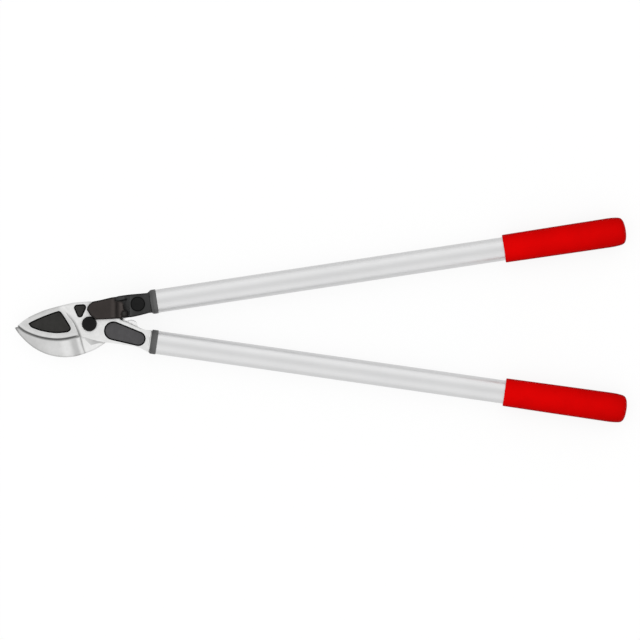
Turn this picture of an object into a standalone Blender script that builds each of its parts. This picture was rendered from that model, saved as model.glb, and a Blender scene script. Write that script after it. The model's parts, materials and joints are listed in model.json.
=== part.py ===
"""Long-handled bypass lopper with a lever-assisted upper handle, closed and lying on its side.

Metres, +Z up. The origin is on the main pivot's axis, on the surface that the tool lies on. +X runs
towards the grips. The blade arm is the fixed body, and every joint axis is vertical.
"""

import math

import bmesh
import bpy
import numpy as np
from mathutils import Matrix, Vector

# Fits
GAP = 0.0003  # between pieces that touch
KNUCKLE_PLAY = 0.0016  # room for the knuckle pin, whose path isn't quite an arc

# Handles
HANDLE_ANGLE = math.radians(8.37)
HANDLE_START_X = 0.084
HANDLE_OFFSET = 0.027  # of each handle's axis from the midline, at its start
MIDLINE_Y = 0.0025
TUBE_DIAMETER = 0.032
TUBE_WALL = 0.0016
TUBE_LENGTH = 0.6416
SPIGOT_LENGTH = 0.045
COLLAR_LENGTH = 0.0088
COLLAR_DIAMETER = 0.0334
COLLAR_LIP = 0.0004
COLLAR_TAPER = ((0.0, 0.0060), (0.0004, 0.0030), (0.0013, 0.0))  # the upper one: depth, place along it
COLLAR_CHAMFER = ((0.0, 0.0011), (0.0011, 0.0))  # the lower one
GRIP_LENGTH = 0.1695
GRIP_FRONT_DIAMETER = 0.0384
GRIP_REAR_DIAMETER = 0.0404
GRIP_SWELL = 0.0001  # how far the middle stands out
GRIP_SWELL_SHARE = 0.45  # of the length, from the front
GRIP_LIP = ((0.0, 0.0012), (0.0004, 0.0004), (0.0010, 0.0))  # depth, place along it
GRIP_CORNER = 0.007
GRIP_CROWN = 0.0012
GRIP_CROWN_POINT = (0.6, 0.35)  # share of the flat's radius, and of the crown's height lost there
GRIP_END_WALL = 0.0073
PLUG_LENGTH = 0.012
PLUG_FLANGE = 0.002
TUBE_PIN_DIAMETER = 0.004
TUBE_PIN_LENGTH = 0.012
TUBE_PIN_SETBACK = 0.015  # from the spigot's end
SPIGOT_CHAMFER = 0.001
NECK_LENGTH = 0.0110
NECK_ROOT_RADIUS = 0.0040
NECK_MARGIN = 0.0010  # of the neck's end beyond the spigot
ARM_END_MARGIN = 0.0013  # of the arm's end beyond the spigot
HEAD_END_MARGIN = 0.0006  # of the handle head's end beyond the spigot
HEAD_SHOULDER = ((0.0220, -0.0100), (0.0177, -0.0040), (0.0161, 0.0))  # radius, place along the handle

# Heights, from the surface that the tool lies on
AXIS_HEIGHT = GRIP_REAR_DIAMETER / 2
CUT_HEIGHT = AXIS_HEIGHT - 0.001  # the plane where the jaws pass
BOSS_THICKNESS = 0.0080
BLADE_THICKNESS = 0.0044
HOOK_THICKNESS = 0.0065
HOOK_RELIEF = 0.0020
LINK_THICKNESS = 0.0080
TONGUE_THICKNESS = 0.0045
REAR_CHEEK = 0.0050
POCKET_DEPTH = 0.0010
ARM_POCKET_DEPTH = 0.0014

# Pivots
PIVOT = (0.0, 0.0)
STUD = (0.0100, 0.0194)
KNUCKLE = (0.0480, 0.0142)
FORK_SETBACK = 0.0175  # of the fork's pivot, in front of the handle's start
BOLT_RADIUS = 0.0060
BUSH_WALL = 0.0017
PIVOT_CAP_RADIUS = 0.0097
PIVOT_CAP_CORNER = 0.0020
CAP_WALL = 0.0009
NUT_RADIUS = 0.0080
NUT_HEIGHT = 0.0030
WASHER_THICKNESS = 0.0008
TOOTH_COUNT = 20
TOOTHED_HEAD_RADIUS = 0.0108
TOOTH_DEPTH = 0.0013
TOOTHED_HEAD_THICKNESS = 0.0034
HEX_HEAD_RADIUS = 0.0085
SEGMENT_TEETH = 4
SEGMENT_THICKNESS = 0.0026
SEGMENT_ANGLE = math.radians(270)
SEGMENT_REACH = 0.0105  # beyond the teeth
SEGMENT_HALF_WIDTH = 0.0062
BOLT_TOOTH = (0.18, 0.34)  # half widths of a tooth at its tip and root, in pitches
SEGMENT_TOOTH = (0.07, 0.24)
LOCK_SCREW_SHIFT = 0.0005  # beyond the middle of the segment
LOCK_DRIVE_RADIUS = 0.0016
LOCK_DRIVE_DEPTH = 0.0014
LOCK_SCREW_RADIUS = 0.0021
LOCK_HEAD_RADIUS = 0.0038
LOCK_HEAD_HEIGHT = 0.0024
LOCK_SCREW_DEPTH = 0.0042
STUD_RADIUS = 0.0045
STUD_FLANGE = 0.0018  # radius and thickness of the flange beyond the stud
STUD_LENGTH_IN_LINK = 0.0056
LINK_BUSH_WALL = 0.0012
LINK_END_RADIUS = 0.0116
KNUCKLE_PIN_RADIUS = 0.0020
KNUCKLE_HEAD_RADIUS = 0.0026
KNUCKLE_HEAD_HEIGHT = 0.0007
TONGUE_END_RADIUS = 0.0056
KNUCKLE_LUG_WALL = 0.0023
FORK_BOLT_RADIUS = 0.0050
FORK_HEAD_RADIUS = 0.0072
FORK_HEAD_HEIGHT = 0.0042
FORK_CAP_RADIUS = 0.0094
FORK_CAP_SINK = 0.0014
FORK_CAP_HEIGHT = 0.0026
FORK_CAP_CORNER = 0.0014
FORK_WASHER_RADIUS = 0.0088
FORK_WASHER_THICKNESS = 0.0010
FORK_NUT_RADIUS = 0.0080
TAIL_RADIUS = 0.0110
HOOK_BOSS_RADIUS = 0.0240
FORK_BOLT_END = 0.0006  # of the bolt's end above the surface that the tool lies on

# Edges
CHAMFER = 0.0005  # of turned hardware
BOLT_CHAMFER = 0.0008
SMOOTH_ANGLE = math.radians(35)
FORGING_ROUND = 0.0007
LEVER_ROUND = 0.0009
PLATE_ROUND = 0.0005
POCKET_FILLET = 0.0004
HOOK_ROUND_X = -0.0100  # right of it, the hook's upper edge is rounded too
BORE_TURN = math.radians(5)  # keeps the pin bores' edges off those of the spigots
COVE = 0.0032
LINK_END_SLOPE = 0.0040
EDGE_LAND = 0.0003
EDGE_BEVEL = (0.0024, 0.0024)  # width, rise
FACE_GRIND = 0.0068  # width from the edge to the flat of the blade
GRIND_RUNOUT = 0.0001
BLADE_LAND_OVERLAP = 0.0012
HOOK_RELIEF_END_X = -0.0150

# Outlines, seen from above, each in the order of its curve
BLADE_SPINE = (
    (-0.0989, -0.0028), (-0.0941, 0.0021), (-0.0844, 0.0089), (-0.0689, 0.0162),
    (-0.0554, 0.0210), (-0.0264, 0.0283), (-0.0119, 0.0301), (-0.0003, 0.0309),
)
BLADE_EDGE = (
    (-0.0989, -0.0028), (-0.0910, -0.0090), (-0.0814, -0.0138), (-0.0689, -0.0181),
    (-0.0554, -0.0207), (-0.0429, -0.0215), (-0.0312, -0.0203), (-0.0206, -0.0181),
    (-0.0142, -0.0166),
)
ARM_BELLY = ((-0.0142, -0.0166), (-0.0074, -0.0181), (0.0060, -0.0222), (0.0188, -0.0253))
ARM_BOTTOM = ((0.0188, -0.0253), (0.0360, -0.0272), (0.0543, -0.0299), (0.0680, -0.0328))
ARM_TOP = ((0.0752, -0.0080), (0.0640, -0.0030), (0.0504, 0.0030), (0.0466, 0.0040))
BOSS_RIGHT = (
    (0.0352, 0.0120), (0.0335, 0.0190), (0.0285, 0.0245), (0.0190, 0.0290), (0.0080, 0.0306),
)
STEP_LINE = (
    (-0.0420, 0.0330), (-0.0370, 0.0225), (-0.0295, 0.0131), (-0.0217, 0.0034),
    (-0.0178, -0.0045), (-0.0138, -0.0144), (-0.0117, -0.0210), (-0.0089, -0.0320),
    (-0.0060, -0.0400), (-0.0030, -0.0480),
)
BLADE_SIDE = ((0.0, -0.0600), (-0.1200, -0.0600), (-0.1200, 0.0500), (-0.0450, 0.0500))
HOOK_SIDE = ((-0.0030, -0.0600), (-0.1200, -0.0600))
LEAF = (
    (-0.0827, -0.0008), (-0.0809, 0.0021), (-0.0620, 0.0105), (-0.0440, 0.0174),
    (-0.0405, 0.0174), (-0.0373, 0.0144), (-0.0315, 0.0055), (-0.0261, -0.0036),
    (-0.0256, -0.0075), (-0.0281, -0.0103), (-0.0330, -0.0118), (-0.0477, -0.0126),
    (-0.0650, -0.0098), (-0.0766, -0.0060), (-0.0811, -0.0034),
)
TRIANGLE_CORNERS = (
    (-0.0165, 0.0220, 0.0037), (-0.0129, 0.0136, 0.0035), (-0.0088, 0.0227, 0.0037),
)  # x, y, radius
ARM_SLOT_ENDS = ((0.0330, -0.0096, 0.0130), (0.0672, -0.0206, 0.0101))
HOOK_BELLY = (
    (-0.1027, -0.0050), (-0.0989, -0.0109), (-0.0939, -0.0171), (-0.0862, -0.0248),
    (-0.0766, -0.0325), (-0.0650, -0.0389), (-0.0535, -0.0430), (-0.0409, -0.0453),
    (-0.0302, -0.0456), (-0.0186, -0.0442), (-0.0071, -0.0408), (0.0045, -0.0365),
    (0.0152, -0.0306), (0.0229, -0.0252),
)
HOOK_UNDER_ARM = ((0.0229, -0.0252), (0.0340, -0.0195), (0.0480, -0.0165), (0.0600, -0.0140))
STOP_LOBE = (
    (0.0655, -0.0105), (0.0669, -0.0052), (0.0645, 0.0020), (0.0580, 0.0052), (0.0503, 0.0038),
)
TAIL_LOWER = ((0.0475, 0.0064), (0.0560, 0.0108))
TAIL_UPPER = ((0.0400, 0.0300), (0.0200, 0.0256))
HOOK_INNER = (
    (-0.0275, -0.0112), (-0.0370, -0.0148), (-0.0500, -0.0158), (-0.0660, -0.0133),
    (-0.0800, -0.0088), (-0.0920, -0.0048), (-0.0990, -0.0038), (-0.1027, -0.0050),
)
LINK_TOP = ((0.0284, 0.0349), (0.0357, 0.0368))
LINK_TONGUE = ((0.0357, 0.0312), (0.0415, 0.0304), (0.0452, 0.0258), (0.0485, 0.0219))
LINK_BOTTOM = ((0.0400, 0.0077), (0.0284, 0.0072), (0.0150, 0.0073))
HEAD_TOP = (
    (0.0795, 0.0422), (0.0697, 0.0416), (0.0559, 0.0403), (0.0422, 0.0384), (0.0362, 0.0370),
)
HEAD_PLATE_FRONT = ((0.0362, 0.0370), (0.0342, 0.0352), (0.0345, 0.0310), (0.0410, 0.0240))
HEAD_BOTTOM = ((0.0559, 0.0098), (0.0697, 0.0130), (0.0821, 0.0154))
PLATE_BOTTOM = ((0.0579, 0.0108), (0.0616, 0.0120))
HEAD_WALL_X = 0.0556  # where the head rises behind the link's tongue
BUMPER_SEAT = ((0.0464, 0.0042), (0.0440, 0.0040), (0.0408, 0.0052), (0.0378, 0.0078))

# Derived places
START_UPPER = Vector((HANDLE_START_X, MIDLINE_Y + HANDLE_OFFSET))
START_LOWER = Vector((HANDLE_START_X, MIDLINE_Y - HANDLE_OFFSET))
FORK = (
    START_UPPER.x - FORK_SETBACK * math.cos(HANDLE_ANGLE),
    START_UPPER.y - FORK_SETBACK * math.sin(HANDLE_ANGLE),
)
SPIGOT_RADIUS = TUBE_DIAMETER / 2 - TUBE_WALL - GAP
TUBE_START = COLLAR_LENGTH + GAP
TUBE_END = TUBE_START + TUBE_LENGTH
PLUG_END = TUBE_END + GAP + PLUG_FLANGE
GRIP_END = PLUG_END + GAP + GRIP_END_WALL
GRIP_START = GRIP_END - GRIP_LENGTH
TUBE_PIN_PLACE = SPIGOT_LENGTH - TUBE_PIN_SETBACK
BLADE_LOW = CUT_HEIGHT + GAP / 2
BLADE_FACE = BLADE_LOW + BLADE_THICKNESS
BOSS_FACE = BLADE_LOW + BOSS_THICKNESS
HOOK_FACE = CUT_HEIGHT - GAP / 2
HOOK_BACK = HOOK_FACE - HOOK_THICKNESS
LINK_LOW = BOSS_FACE + GAP
LINK_FACE = LINK_LOW + LINK_THICKNESS
TONGUE_FACE = LINK_LOW + TONGUE_THICKNESS
CHEEK_FACE = HOOK_BACK - GAP
CHEEK_BACK = CHEEK_FACE - REAR_CHEEK
BEYOND = 0.003  # how far a cutter runs past the face that it opens
OVERLAP = 0.001  # how far joined shapes run into each other
REACH = 1.2 * HANDLE_START_X  # farther than any outline of the head
KNUCKLE_LUG_RADIUS = KNUCKLE_PIN_RADIUS + KNUCKLE_PLAY + GAP + KNUCKLE_LUG_WALL
LOCK_PLACE = (
    (TOOTHED_HEAD_RADIUS + SEGMENT_REACH / 2 + LOCK_SCREW_SHIFT) * math.cos(SEGMENT_ANGLE),
    (TOOTHED_HEAD_RADIUS + SEGMENT_REACH / 2 + LOCK_SCREW_SHIFT) * math.sin(SEGMENT_ANGLE),
)

# Finishes: colour, metallic, roughness
FORGED = ((0.62, 0.62, 0.62), 1.0, 0.42)
GROUND = ((0.66, 0.66, 0.66), 1.0, 0.25)
BLACK_STEEL = ((0.035, 0.033, 0.031), 0.4, 0.45)
ZINC = ((0.55, 0.55, 0.54), 1.0, 0.35)
BRONZE = ((0.45, 0.28, 0.12), 1.0, 0.40)
BLACK_PLASTIC = ((0.012, 0.012, 0.012), 0.0, 0.45)
GREY_PLASTIC = ((0.11, 0.11, 0.11), 0.0, 0.50)
RUBBER = ((0.02, 0.02, 0.02), 0.0, 0.80)
ALUMINIUM = ((0.72, 0.72, 0.74), 1.0, 0.38)
RED_GRIP = ((0.72, 0.004, 0.004), 0.0, 0.42)


def arc(centre, radius, start, end, steps):
    """Points on a circle, from one angle to another in degrees."""
    angles = np.radians(np.linspace(start, end, steps + 1))
    return [(centre[0] + radius * math.cos(a), centre[1] + radius * math.sin(a)) for a in angles]


def smooth(points, steps=4):
    """A Catmull-Rom curve through the points."""
    points = [np.array(point) for point in points]
    ends = [2 * points[0] - points[1], *points, 2 * points[-1] - points[-2]]
    curve = []
    for before, first, second, after in zip(ends, ends[1:], ends[2:], ends[3:]):
        for t in np.arange(steps) / steps:
            curve.append(tuple(
                first + 0.5 * t * (second - before)
                + t * t * (before - 2.5 * first + 2 * second - 0.5 * after)
                + 0.5 * t ** 3 * (3 * (first - second) + after - before)
            ))
    return [*curve, tuple(points[-1])]


def closed_smooth(points, steps=4):
    """The same through a closed ring of points."""
    ring = [*points[-2:], *points, *points[:2]]
    return smooth(ring, steps)[2 * steps:-2 * steps - 1]


def joined(*runs):
    """One outline from several runs, without doubled points."""
    outline = []
    for point in (p for run in runs for p in run):
        if not outline or math.dist(point, outline[-1]) > 1e-5:
            outline.append(tuple(point))
    if math.dist(outline[0], outline[-1]) < 1e-5:
        outline.pop()
    return outline


def capsule(circles, steps):
    """The hull of circles (x, y, radius), given anticlockwise, as an outline."""
    outline = []
    for before, circle, after in zip([circles[-1], *circles], circles, [*circles[1:], circles[0]]):
        turns = []
        for first, second in ((before, circle), (circle, after)):
            heading = math.atan2(second[1] - first[1], second[0] - first[0])
            lean = math.asin((first[2] - second[2]) / math.dist(first[:2], second[:2]))
            turns.append(math.degrees(heading - math.pi / 2 + lean))
        while turns[1] < turns[0]:
            turns[1] += 360
        outline += arc(circle, circle[2], *turns, steps)
    return joined(outline)


def on_handle(side, along, across):
    """The point at a distance along a handle's axis and across it. side is +1 for the upper one."""
    start = START_UPPER if side > 0 else START_LOWER
    return tuple(start + Matrix.Rotation(side * HANDLE_ANGLE, 2) @ Vector((along, across)))


def normals(path):
    """Unit normals of an open path, to its right."""
    steps = np.gradient(np.array(path), axis=0)
    steps /= np.linalg.norm(steps, axis=1)[:, None]
    return np.stack([steps[:, 1], -steps[:, 0]], axis=1)


def paint(part, finish):
    """Gives a part a material of its own."""
    colour, metallic, roughness = finish
    made = bpy.data.materials.new(part.name)
    made.use_nodes = True
    shader = made.node_tree.nodes["Principled BSDF"]
    shader.inputs["Base Color"].default_value = (*colour, 1)
    shader.inputs["Metallic"].default_value = metallic
    shader.inputs["Roughness"].default_value = roughness
    part.data.materials.append(made)


def carry(made, carrier, collection):
    """Moves an object into a collection and parents it where it stands."""
    for holder in made.users_collection:
        holder.objects.unlink(made)
    collection.objects.link(made)
    made.parent = carrier
    made.matrix_parent_inverse = carrier.matrix_world.inverted()


def add_object(name, mesh, finish, carrier):
    """A part of the tool, where its mesh is in world space, carried by an empty."""
    made = bpy.data.objects.new(name, mesh)
    carry(made, carrier, tool)
    paint(made, finish)
    return made


def helper(made, carrier):
    """Turns an object into a hidden one that only cuts or joins."""
    carry(made, carrier, cutters)
    made.hide_render = True
    made.display_type = "WIRE"
    return made


def stacked_mesh(name, levels):
    """A closed mesh through outlines of equal count, each given with its height, from low to high."""
    shape = bmesh.new()
    rings = [[shape.verts.new((x, y, height)) for x, y in outline] for outline, height in levels]
    for low, high in zip(rings, rings[1:]):
        for i in range(len(low)):
            j = (i + 1) % len(low)
            shape.faces.new((low[i], low[j], high[j], high[i]))
    shape.faces.new(rings[0][::-1])
    shape.faces.new(rings[-1])
    bmesh.ops.recalc_face_normals(shape, faces=shape.faces)
    mesh = bpy.data.meshes.new(name)
    shape.to_mesh(mesh)
    shape.free()
    return mesh


def prism_mesh(name, outline, low, high):
    return stacked_mesh(name, [(outline, low), (outline, high)])


def swept_mesh(name, path, section):
    """A closed mesh along a flat path. The section is given as (distance to the path's right, height)."""
    sides = normals(path)
    shape = bmesh.new()
    rings = [
        [shape.verts.new((*(np.array(point) + side * away), height)) for away, height in section]
        for point, side in zip(path, sides)
    ]
    for first, second in zip(rings, rings[1:]):
        for i in range(len(section)):
            j = (i + 1) % len(section)
            shape.faces.new((first[i], first[j], second[j], second[i]))
    shape.faces.new(rings[0])
    shape.faces.new(rings[-1])
    bmesh.ops.recalc_face_normals(shape, faces=shape.faces)
    mesh = bpy.data.meshes.new(name)
    shape.to_mesh(mesh)
    shape.free()
    return mesh


def turned(name, profile, steps=28):
    """A closed solid turned from (radius, height) points that run down its outer side."""
    mesh = bpy.data.meshes.new(name)
    count = len(profile)
    on_axis = profile[0][0] == 0 and profile[-1][0] == 0
    edges = [(i, i + 1) for i in range(count - 1)] + ([] if on_axis else [(count - 1, 0)])
    mesh.from_pydata([(r, 0, z) for r, z in profile], edges, [])
    made = bpy.data.objects.new(name, mesh)
    bpy.context.scene.collection.objects.link(made)
    screw = made.modifiers.new("Turn", "SCREW")
    screw.axis = "Z"
    screw.steps = screw.render_steps = steps
    screw.use_merge_vertices = True
    screw.merge_threshold = 0.00002
    return made


def ring(outer, inner, low, high, chamfer=0.0):
    """The profile of a ring or, with no inner radius, of a disc, chamfered outside."""
    edge = [(outer, high), (outer, low)]
    if chamfer:
        side = outer - chamfer
        edge = [(side, high), (outer, high - chamfer), (outer, low + chamfer), (side, low)]
    return [(inner, high), *edge, (inner, low)]


def headed(radius, head_radius, end, seat, head_end):
    """The profile of a pin, from its end to the seat of its head, with the head above or below."""
    rise = math.copysign(CHAMFER, head_end - seat)
    profile = [
        (0, end), (radius - CHAMFER, end), (radius, end + rise), (radius, seat), (head_radius, seat),
        (head_radius, head_end - rise), (head_radius - CHAMFER, head_end), (0, head_end),
    ]
    return profile[::-1] if head_end > seat else profile


def domed(radius, low, high, corner):
    """The outer profile of a round cap with a soft upper corner."""
    return [(0, high), *arc((radius - corner, high - corner), corner, 85, 0, 4), (radius, low)]


def turned_part(name, profile, finish, carrier, place=(0, 0), steps=28):
    """A turned part on a vertical axis at a place seen from above."""
    made = turned(name, profile, steps)
    made.location = (*place, 0)
    carry(made, carrier, tool)
    paint(made, finish)
    return made


def in_handle(made, handle, finish=None, along=0.0, upright=False):
    """Lays a turned object along a handle, or stands it upright there. With no finish it is a helper."""
    if finish:
        carry(made, handle, tool)
        paint(made, finish)
    else:
        helper(made, handle)
    made.matrix_parent_inverse = Matrix()
    made.location = (along, 0, 0)
    made.rotation_euler = (0, 0, BORE_TURN) if upright else (0, math.pi / 2, 0)
    return made


def boolean(part, other, operation="DIFFERENCE"):
    change = part.modifiers.new(other.name, "BOOLEAN")
    change.operation = operation
    change.object = other
    change.solver = "EXACT"


def cut(part, mesh):
    """Cuts a mesh out of a part."""
    boolean(part, helper(bpy.data.objects.new(mesh.name, mesh), part.parent))


def bore(part, name, place, radius, low, high, steps=28):
    """A round hole. With 6 steps it is a hexagon."""
    stepped_bore(part, name, place, high, [(radius, low)], steps)


def stepped_bore(part, name, place, high, drops, steps=28):
    """A round hole from a height down, in (radius, lower end) steps."""
    profile, top = [(0, high)], high
    for radius, low in drops:
        profile += [(radius, top), (radius, low)]
        top = low
    hole = turned(name, [*profile, (0, top)], steps)
    hole.location = (*place, 0)
    boolean(part, helper(hole, part.parent))


def soften(part, width, segments=2, chosen=None):
    """Bevels the edges whose midpoint is chosen, or all sharp ones."""
    bevel = part.modifiers.new("Edges", "BEVEL")
    bevel.width = width
    bevel.segments = segments
    if chosen is None:
        bevel.limit_method = "ANGLE"
        bevel.angle_limit = math.radians(50)
        return
    bevel.limit_method = "WEIGHT"
    mesh = part.data
    weights = mesh.attributes.new("bevel_weight_edge", "FLOAT", "EDGE")
    for edge in mesh.edges:
        first, second = (mesh.vertices[i].co for i in edge.vertices)
        level = abs(first.z - second.z) < 1e-6
        weights.data[edge.index].value = float(level and chosen((first + second) / 2))


def blade_outline():
    """The blade arm from the tip along its spine, round the boss, along the arm to the handle, and back."""
    half = SPIGOT_RADIUS + ARM_END_MARGIN
    top, bottom = (on_handle(-1, -2 * GAP, across) for across in (half, -half))
    return joined(
        smooth(BLADE_SPINE),
        smooth([BLADE_SPINE[-1], *BOSS_RIGHT[::-1]], 3),
        smooth(BUMPER_SEAT[::-1], 3),
        smooth([top, *ARM_TOP], 2)[::-1],
        smooth([bottom, *ARM_BOTTOM[::-1]], 3),
        smooth(ARM_BELLY[::-1], 3),
        smooth(BLADE_EDGE[::-1]),
    )


def jaw_relief(name, line, border, low, high):
    """The cutter that thins a jaw to a height, up to a line, with a cove along the line."""
    sides = normals(line)
    levels = []
    for turn in np.radians(np.linspace(0, 90, 4)):
        inset = COVE * (1 - math.sin(turn))
        rise = min(COVE, high - low) * (1 - math.cos(turn))
        wall = [tuple(np.array(p) + s * inset) for p, s in zip(line, sides)]
        levels.append(([*wall, *border], low + rise))
    levels.append(([*line, *border], high + BEYOND))
    return stacked_mesh(name, levels)


def spigot_profile(start):
    """A spigot for a tube, from a place along the handle to its chamfered end, which comes first."""
    end, radius = SPIGOT_LENGTH, SPIGOT_RADIUS
    return [(0, end), (radius - SPIGOT_CHAMFER, end), (radius, end - SPIGOT_CHAMFER), (radius, start)]


def neck_profile():
    """The lower arm's end: a concave flare that swells to a shoulder, then the spigot."""
    swell = SPIGOT_RADIUS + NECK_MARGIN - NECK_ROOT_RADIUS
    flare = []
    for t in np.linspace(1, 0, 6):
        radius = NECK_ROOT_RADIUS + swell * (1 - math.sqrt(1 - t * t))
        flare.append((radius, -GAP - NECK_LENGTH * (1 - t)))
    return [*spigot_profile(-GAP), *flare, (0, -GAP - NECK_LENGTH)]


def make_blade_arm():
    """Blade, boss and lower arm, one forging, with the ground edge and its shallow pockets."""
    mesh = prism_mesh("blade", blade_outline(), BLADE_LOW, BOSS_FACE)
    arm = add_object("cutting_blade_arm", mesh, FORGED, tool_root)
    edge_end = BLADE_EDGE[-1][0]
    soften(arm, FORGING_ROUND, 2, lambda middle: middle.z > BLADE_FACE or middle.x > edge_end)
    neck = in_handle(turned("arm_neck", neck_profile(), 36), lower_handle)
    boolean(arm, neck, "UNION")
    bush_bore = BOLT_RADIUS + BUSH_WALL + 2 * GAP
    bore(arm, "blade_bore", PIVOT, bush_bore, BLADE_LOW - BEYOND, BOSS_FACE + BEYOND)
    flange = STUD_RADIUS + STUD_FLANGE + GAP
    drops = [(STUD_RADIUS + GAP, BLADE_LOW + STUD_FLANGE + GAP), (flange, BLADE_LOW - BEYOND)]
    stepped_bore(arm, "stud_bore", STUD, BOSS_FACE + BEYOND, drops)
    bore_tube_pin(arm, "lower", lower_handle)
    cut(arm, jaw_relief("blade_relief", smooth(STEP_LINE, 3), BLADE_SIDE, BLADE_FACE, BOSS_FACE))
    cut(arm, edge_grind_mesh())
    cut_pocket(arm, "leaf_pocket", closed_smooth(LEAF, 3), BLADE_FACE - POCKET_DEPTH, BOSS_FACE)
    low, high = BOSS_FACE - ARM_POCKET_DEPTH, BOSS_FACE + BEYOND
    cut_pocket(arm, "triangle_pocket", capsule(TRIANGLE_CORNERS, 5), low, high)
    cut_pocket(arm, "arm_pocket", capsule(ARM_SLOT_ENDS, 12), low, high)


def edge_grind_mesh():
    """The cutter of the cutting edge: a steep bevel at the edge and a shallow grind above it."""
    bevel, rise = EDGE_BEVEL
    keen = BLADE_LOW + EDGE_LAND
    section = [
        (-BEYOND, keen), (0, keen), (bevel, keen + rise), (FACE_GRIND, BLADE_FACE + GRIND_RUNOUT),
        (FACE_GRIND, BOSS_FACE + BEYOND), (-BEYOND, BOSS_FACE + BEYOND),
    ]
    path = smooth(BLADE_EDGE)[::-1]
    lead = 2 * np.array(path[-1]) - path[-2]
    return swept_mesh("edge_grind", [*path, tuple(lead)], section)


def cut_pocket(part, name, outline, floor, high):
    """A shallow recess whose floor meets its wall in a small fillet."""
    cutter = bpy.data.objects.new(name, prism_mesh(name, outline, floor, high))
    middle_height = (floor + high) / 2
    soften(cutter, POCKET_FILLET, 2, lambda middle: middle.z < middle_height)
    boolean(part, helper(cutter, part.parent))


def bore_tube_pin(part, side, handle):
    """The blind hole in a spigot for the pin that holds its tube."""
    low, high = -2 * SPIGOT_RADIUS, TUBE_PIN_LENGTH - SPIGOT_RADIUS
    hole = turned(side + "_pin_bore", ring(TUBE_PIN_DIAMETER / 2 + GAP, 0, low, high), 16)
    boolean(part, in_handle(hole, handle, None, TUBE_PIN_PLACE, True))


def hook_outline():
    """The hook from its tip along the belly, behind the arm to the stop lobe, round the tail, and back."""
    return joined(
        smooth(HOOK_BELLY, 3),
        smooth(HOOK_UNDER_ARM + STOP_LOBE, 3),
        TAIL_LOWER,
        arc(FORK, TAIL_RADIUS, -62, 113, 14),
        smooth(TAIL_UPPER, 2),
        arc(PIVOT, HOOK_BOSS_RADIUS, 78, 196, 14),
        smooth(HOOK_INNER, 3),
    )


def make_hook_arm():
    """The counter-blade, which runs behind the blade and the arm to the fork."""
    mesh = prism_mesh("hook", hook_outline(), HOOK_BACK, HOOK_FACE)
    hook = add_object("hook_arm", mesh, GROUND, hook_pivot)
    outer = HOOK_BELLY[-1][1] + OVERLAP

    def rounded(middle):
        return middle.z < HOOK_FACE - OVERLAP or (middle.y < outer and middle.x > HOOK_ROUND_X)
    soften(hook, FORGING_ROUND, 2, rounded)
    low, high = HOOK_BACK - BEYOND, HOOK_FACE + BEYOND
    bore(hook, "hook_bore", PIVOT, BOLT_RADIUS + GAP, low, high)
    bore(hook, "fork_bush_bore", FORK, FORK_BOLT_RADIUS + BUSH_WALL + 2 * GAP, low, high)
    screw_end = HOOK_BACK + LOCK_SCREW_DEPTH + GAP
    bore(hook, "lock_screw_bore", LOCK_PLACE, LOCK_SCREW_RADIUS + GAP, low, screw_end, 16)
    land = [(x, y + BLADE_LAND_OVERLAP) for x, y in smooth(BLADE_EDGE) if x < HOOK_RELIEF_END_X]
    line = [p for p in smooth(STEP_LINE, 3) if p[1] < land[-1][1]]
    border = [*HOOK_SIDE, (HOOK_SIDE[-1][0], land[0][1]), *land]
    cut(hook, jaw_relief("hook_relief", line, border, HOOK_FACE - HOOK_RELIEF, HOOK_FACE))


def at_angle(radius, angle):
    return (radius * math.cos(angle), radius * math.sin(angle))


def bolt_head_outline():
    """A ring of teeth with flat tips and roots, turned so that the segment's teeth fall in its gaps."""
    tip, root = TOOTHED_HEAD_RADIUS, TOOTHED_HEAD_RADIUS - TOOTH_DEPTH
    half_tip, half_root = BOLT_TOOTH
    pitch = 2 * math.pi / TOOTH_COUNT
    first = SEGMENT_ANGLE + (SEGMENT_TEETH % 2) * pitch / 2
    shares = ((-half_tip, tip), (half_tip, tip), (half_root, root), (1 - half_root, root))
    return [
        at_angle(radius, first + (i + share) * pitch) for i in range(TOOTH_COUNT) for share, radius in shares
    ]


def segment_outline():
    """The locking segment: inner teeth that fill the bolt's gaps, straight sides and a round end."""
    pitch = 2 * math.pi / TOOTH_COUNT
    tip = TOOTHED_HEAD_RADIUS - TOOTH_DEPTH + GAP
    root = TOOTHED_HEAD_RADIUS + GAP
    half_tip, half_root = SEGMENT_TOOTH
    shares = ((-half_root, root), (-half_tip, tip), (half_tip, tip), (half_root, root))
    outline = []
    for i in range(SEGMENT_TEETH):
        centre = SEGMENT_ANGLE + (i - (SEGMENT_TEETH - 1) / 2) * pitch
        outline += [at_angle(radius, centre + share * pitch) for share, radius in shares]
    end = TOOTHED_HEAD_RADIUS + SEGMENT_REACH - SEGMENT_HALF_WIDTH
    heading = math.degrees(SEGMENT_ANGLE)
    round_end = arc(at_angle(end, SEGMENT_ANGLE), SEGMENT_HALF_WIDTH, heading + 90, heading - 90, 10)
    return joined(outline, round_end)


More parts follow.
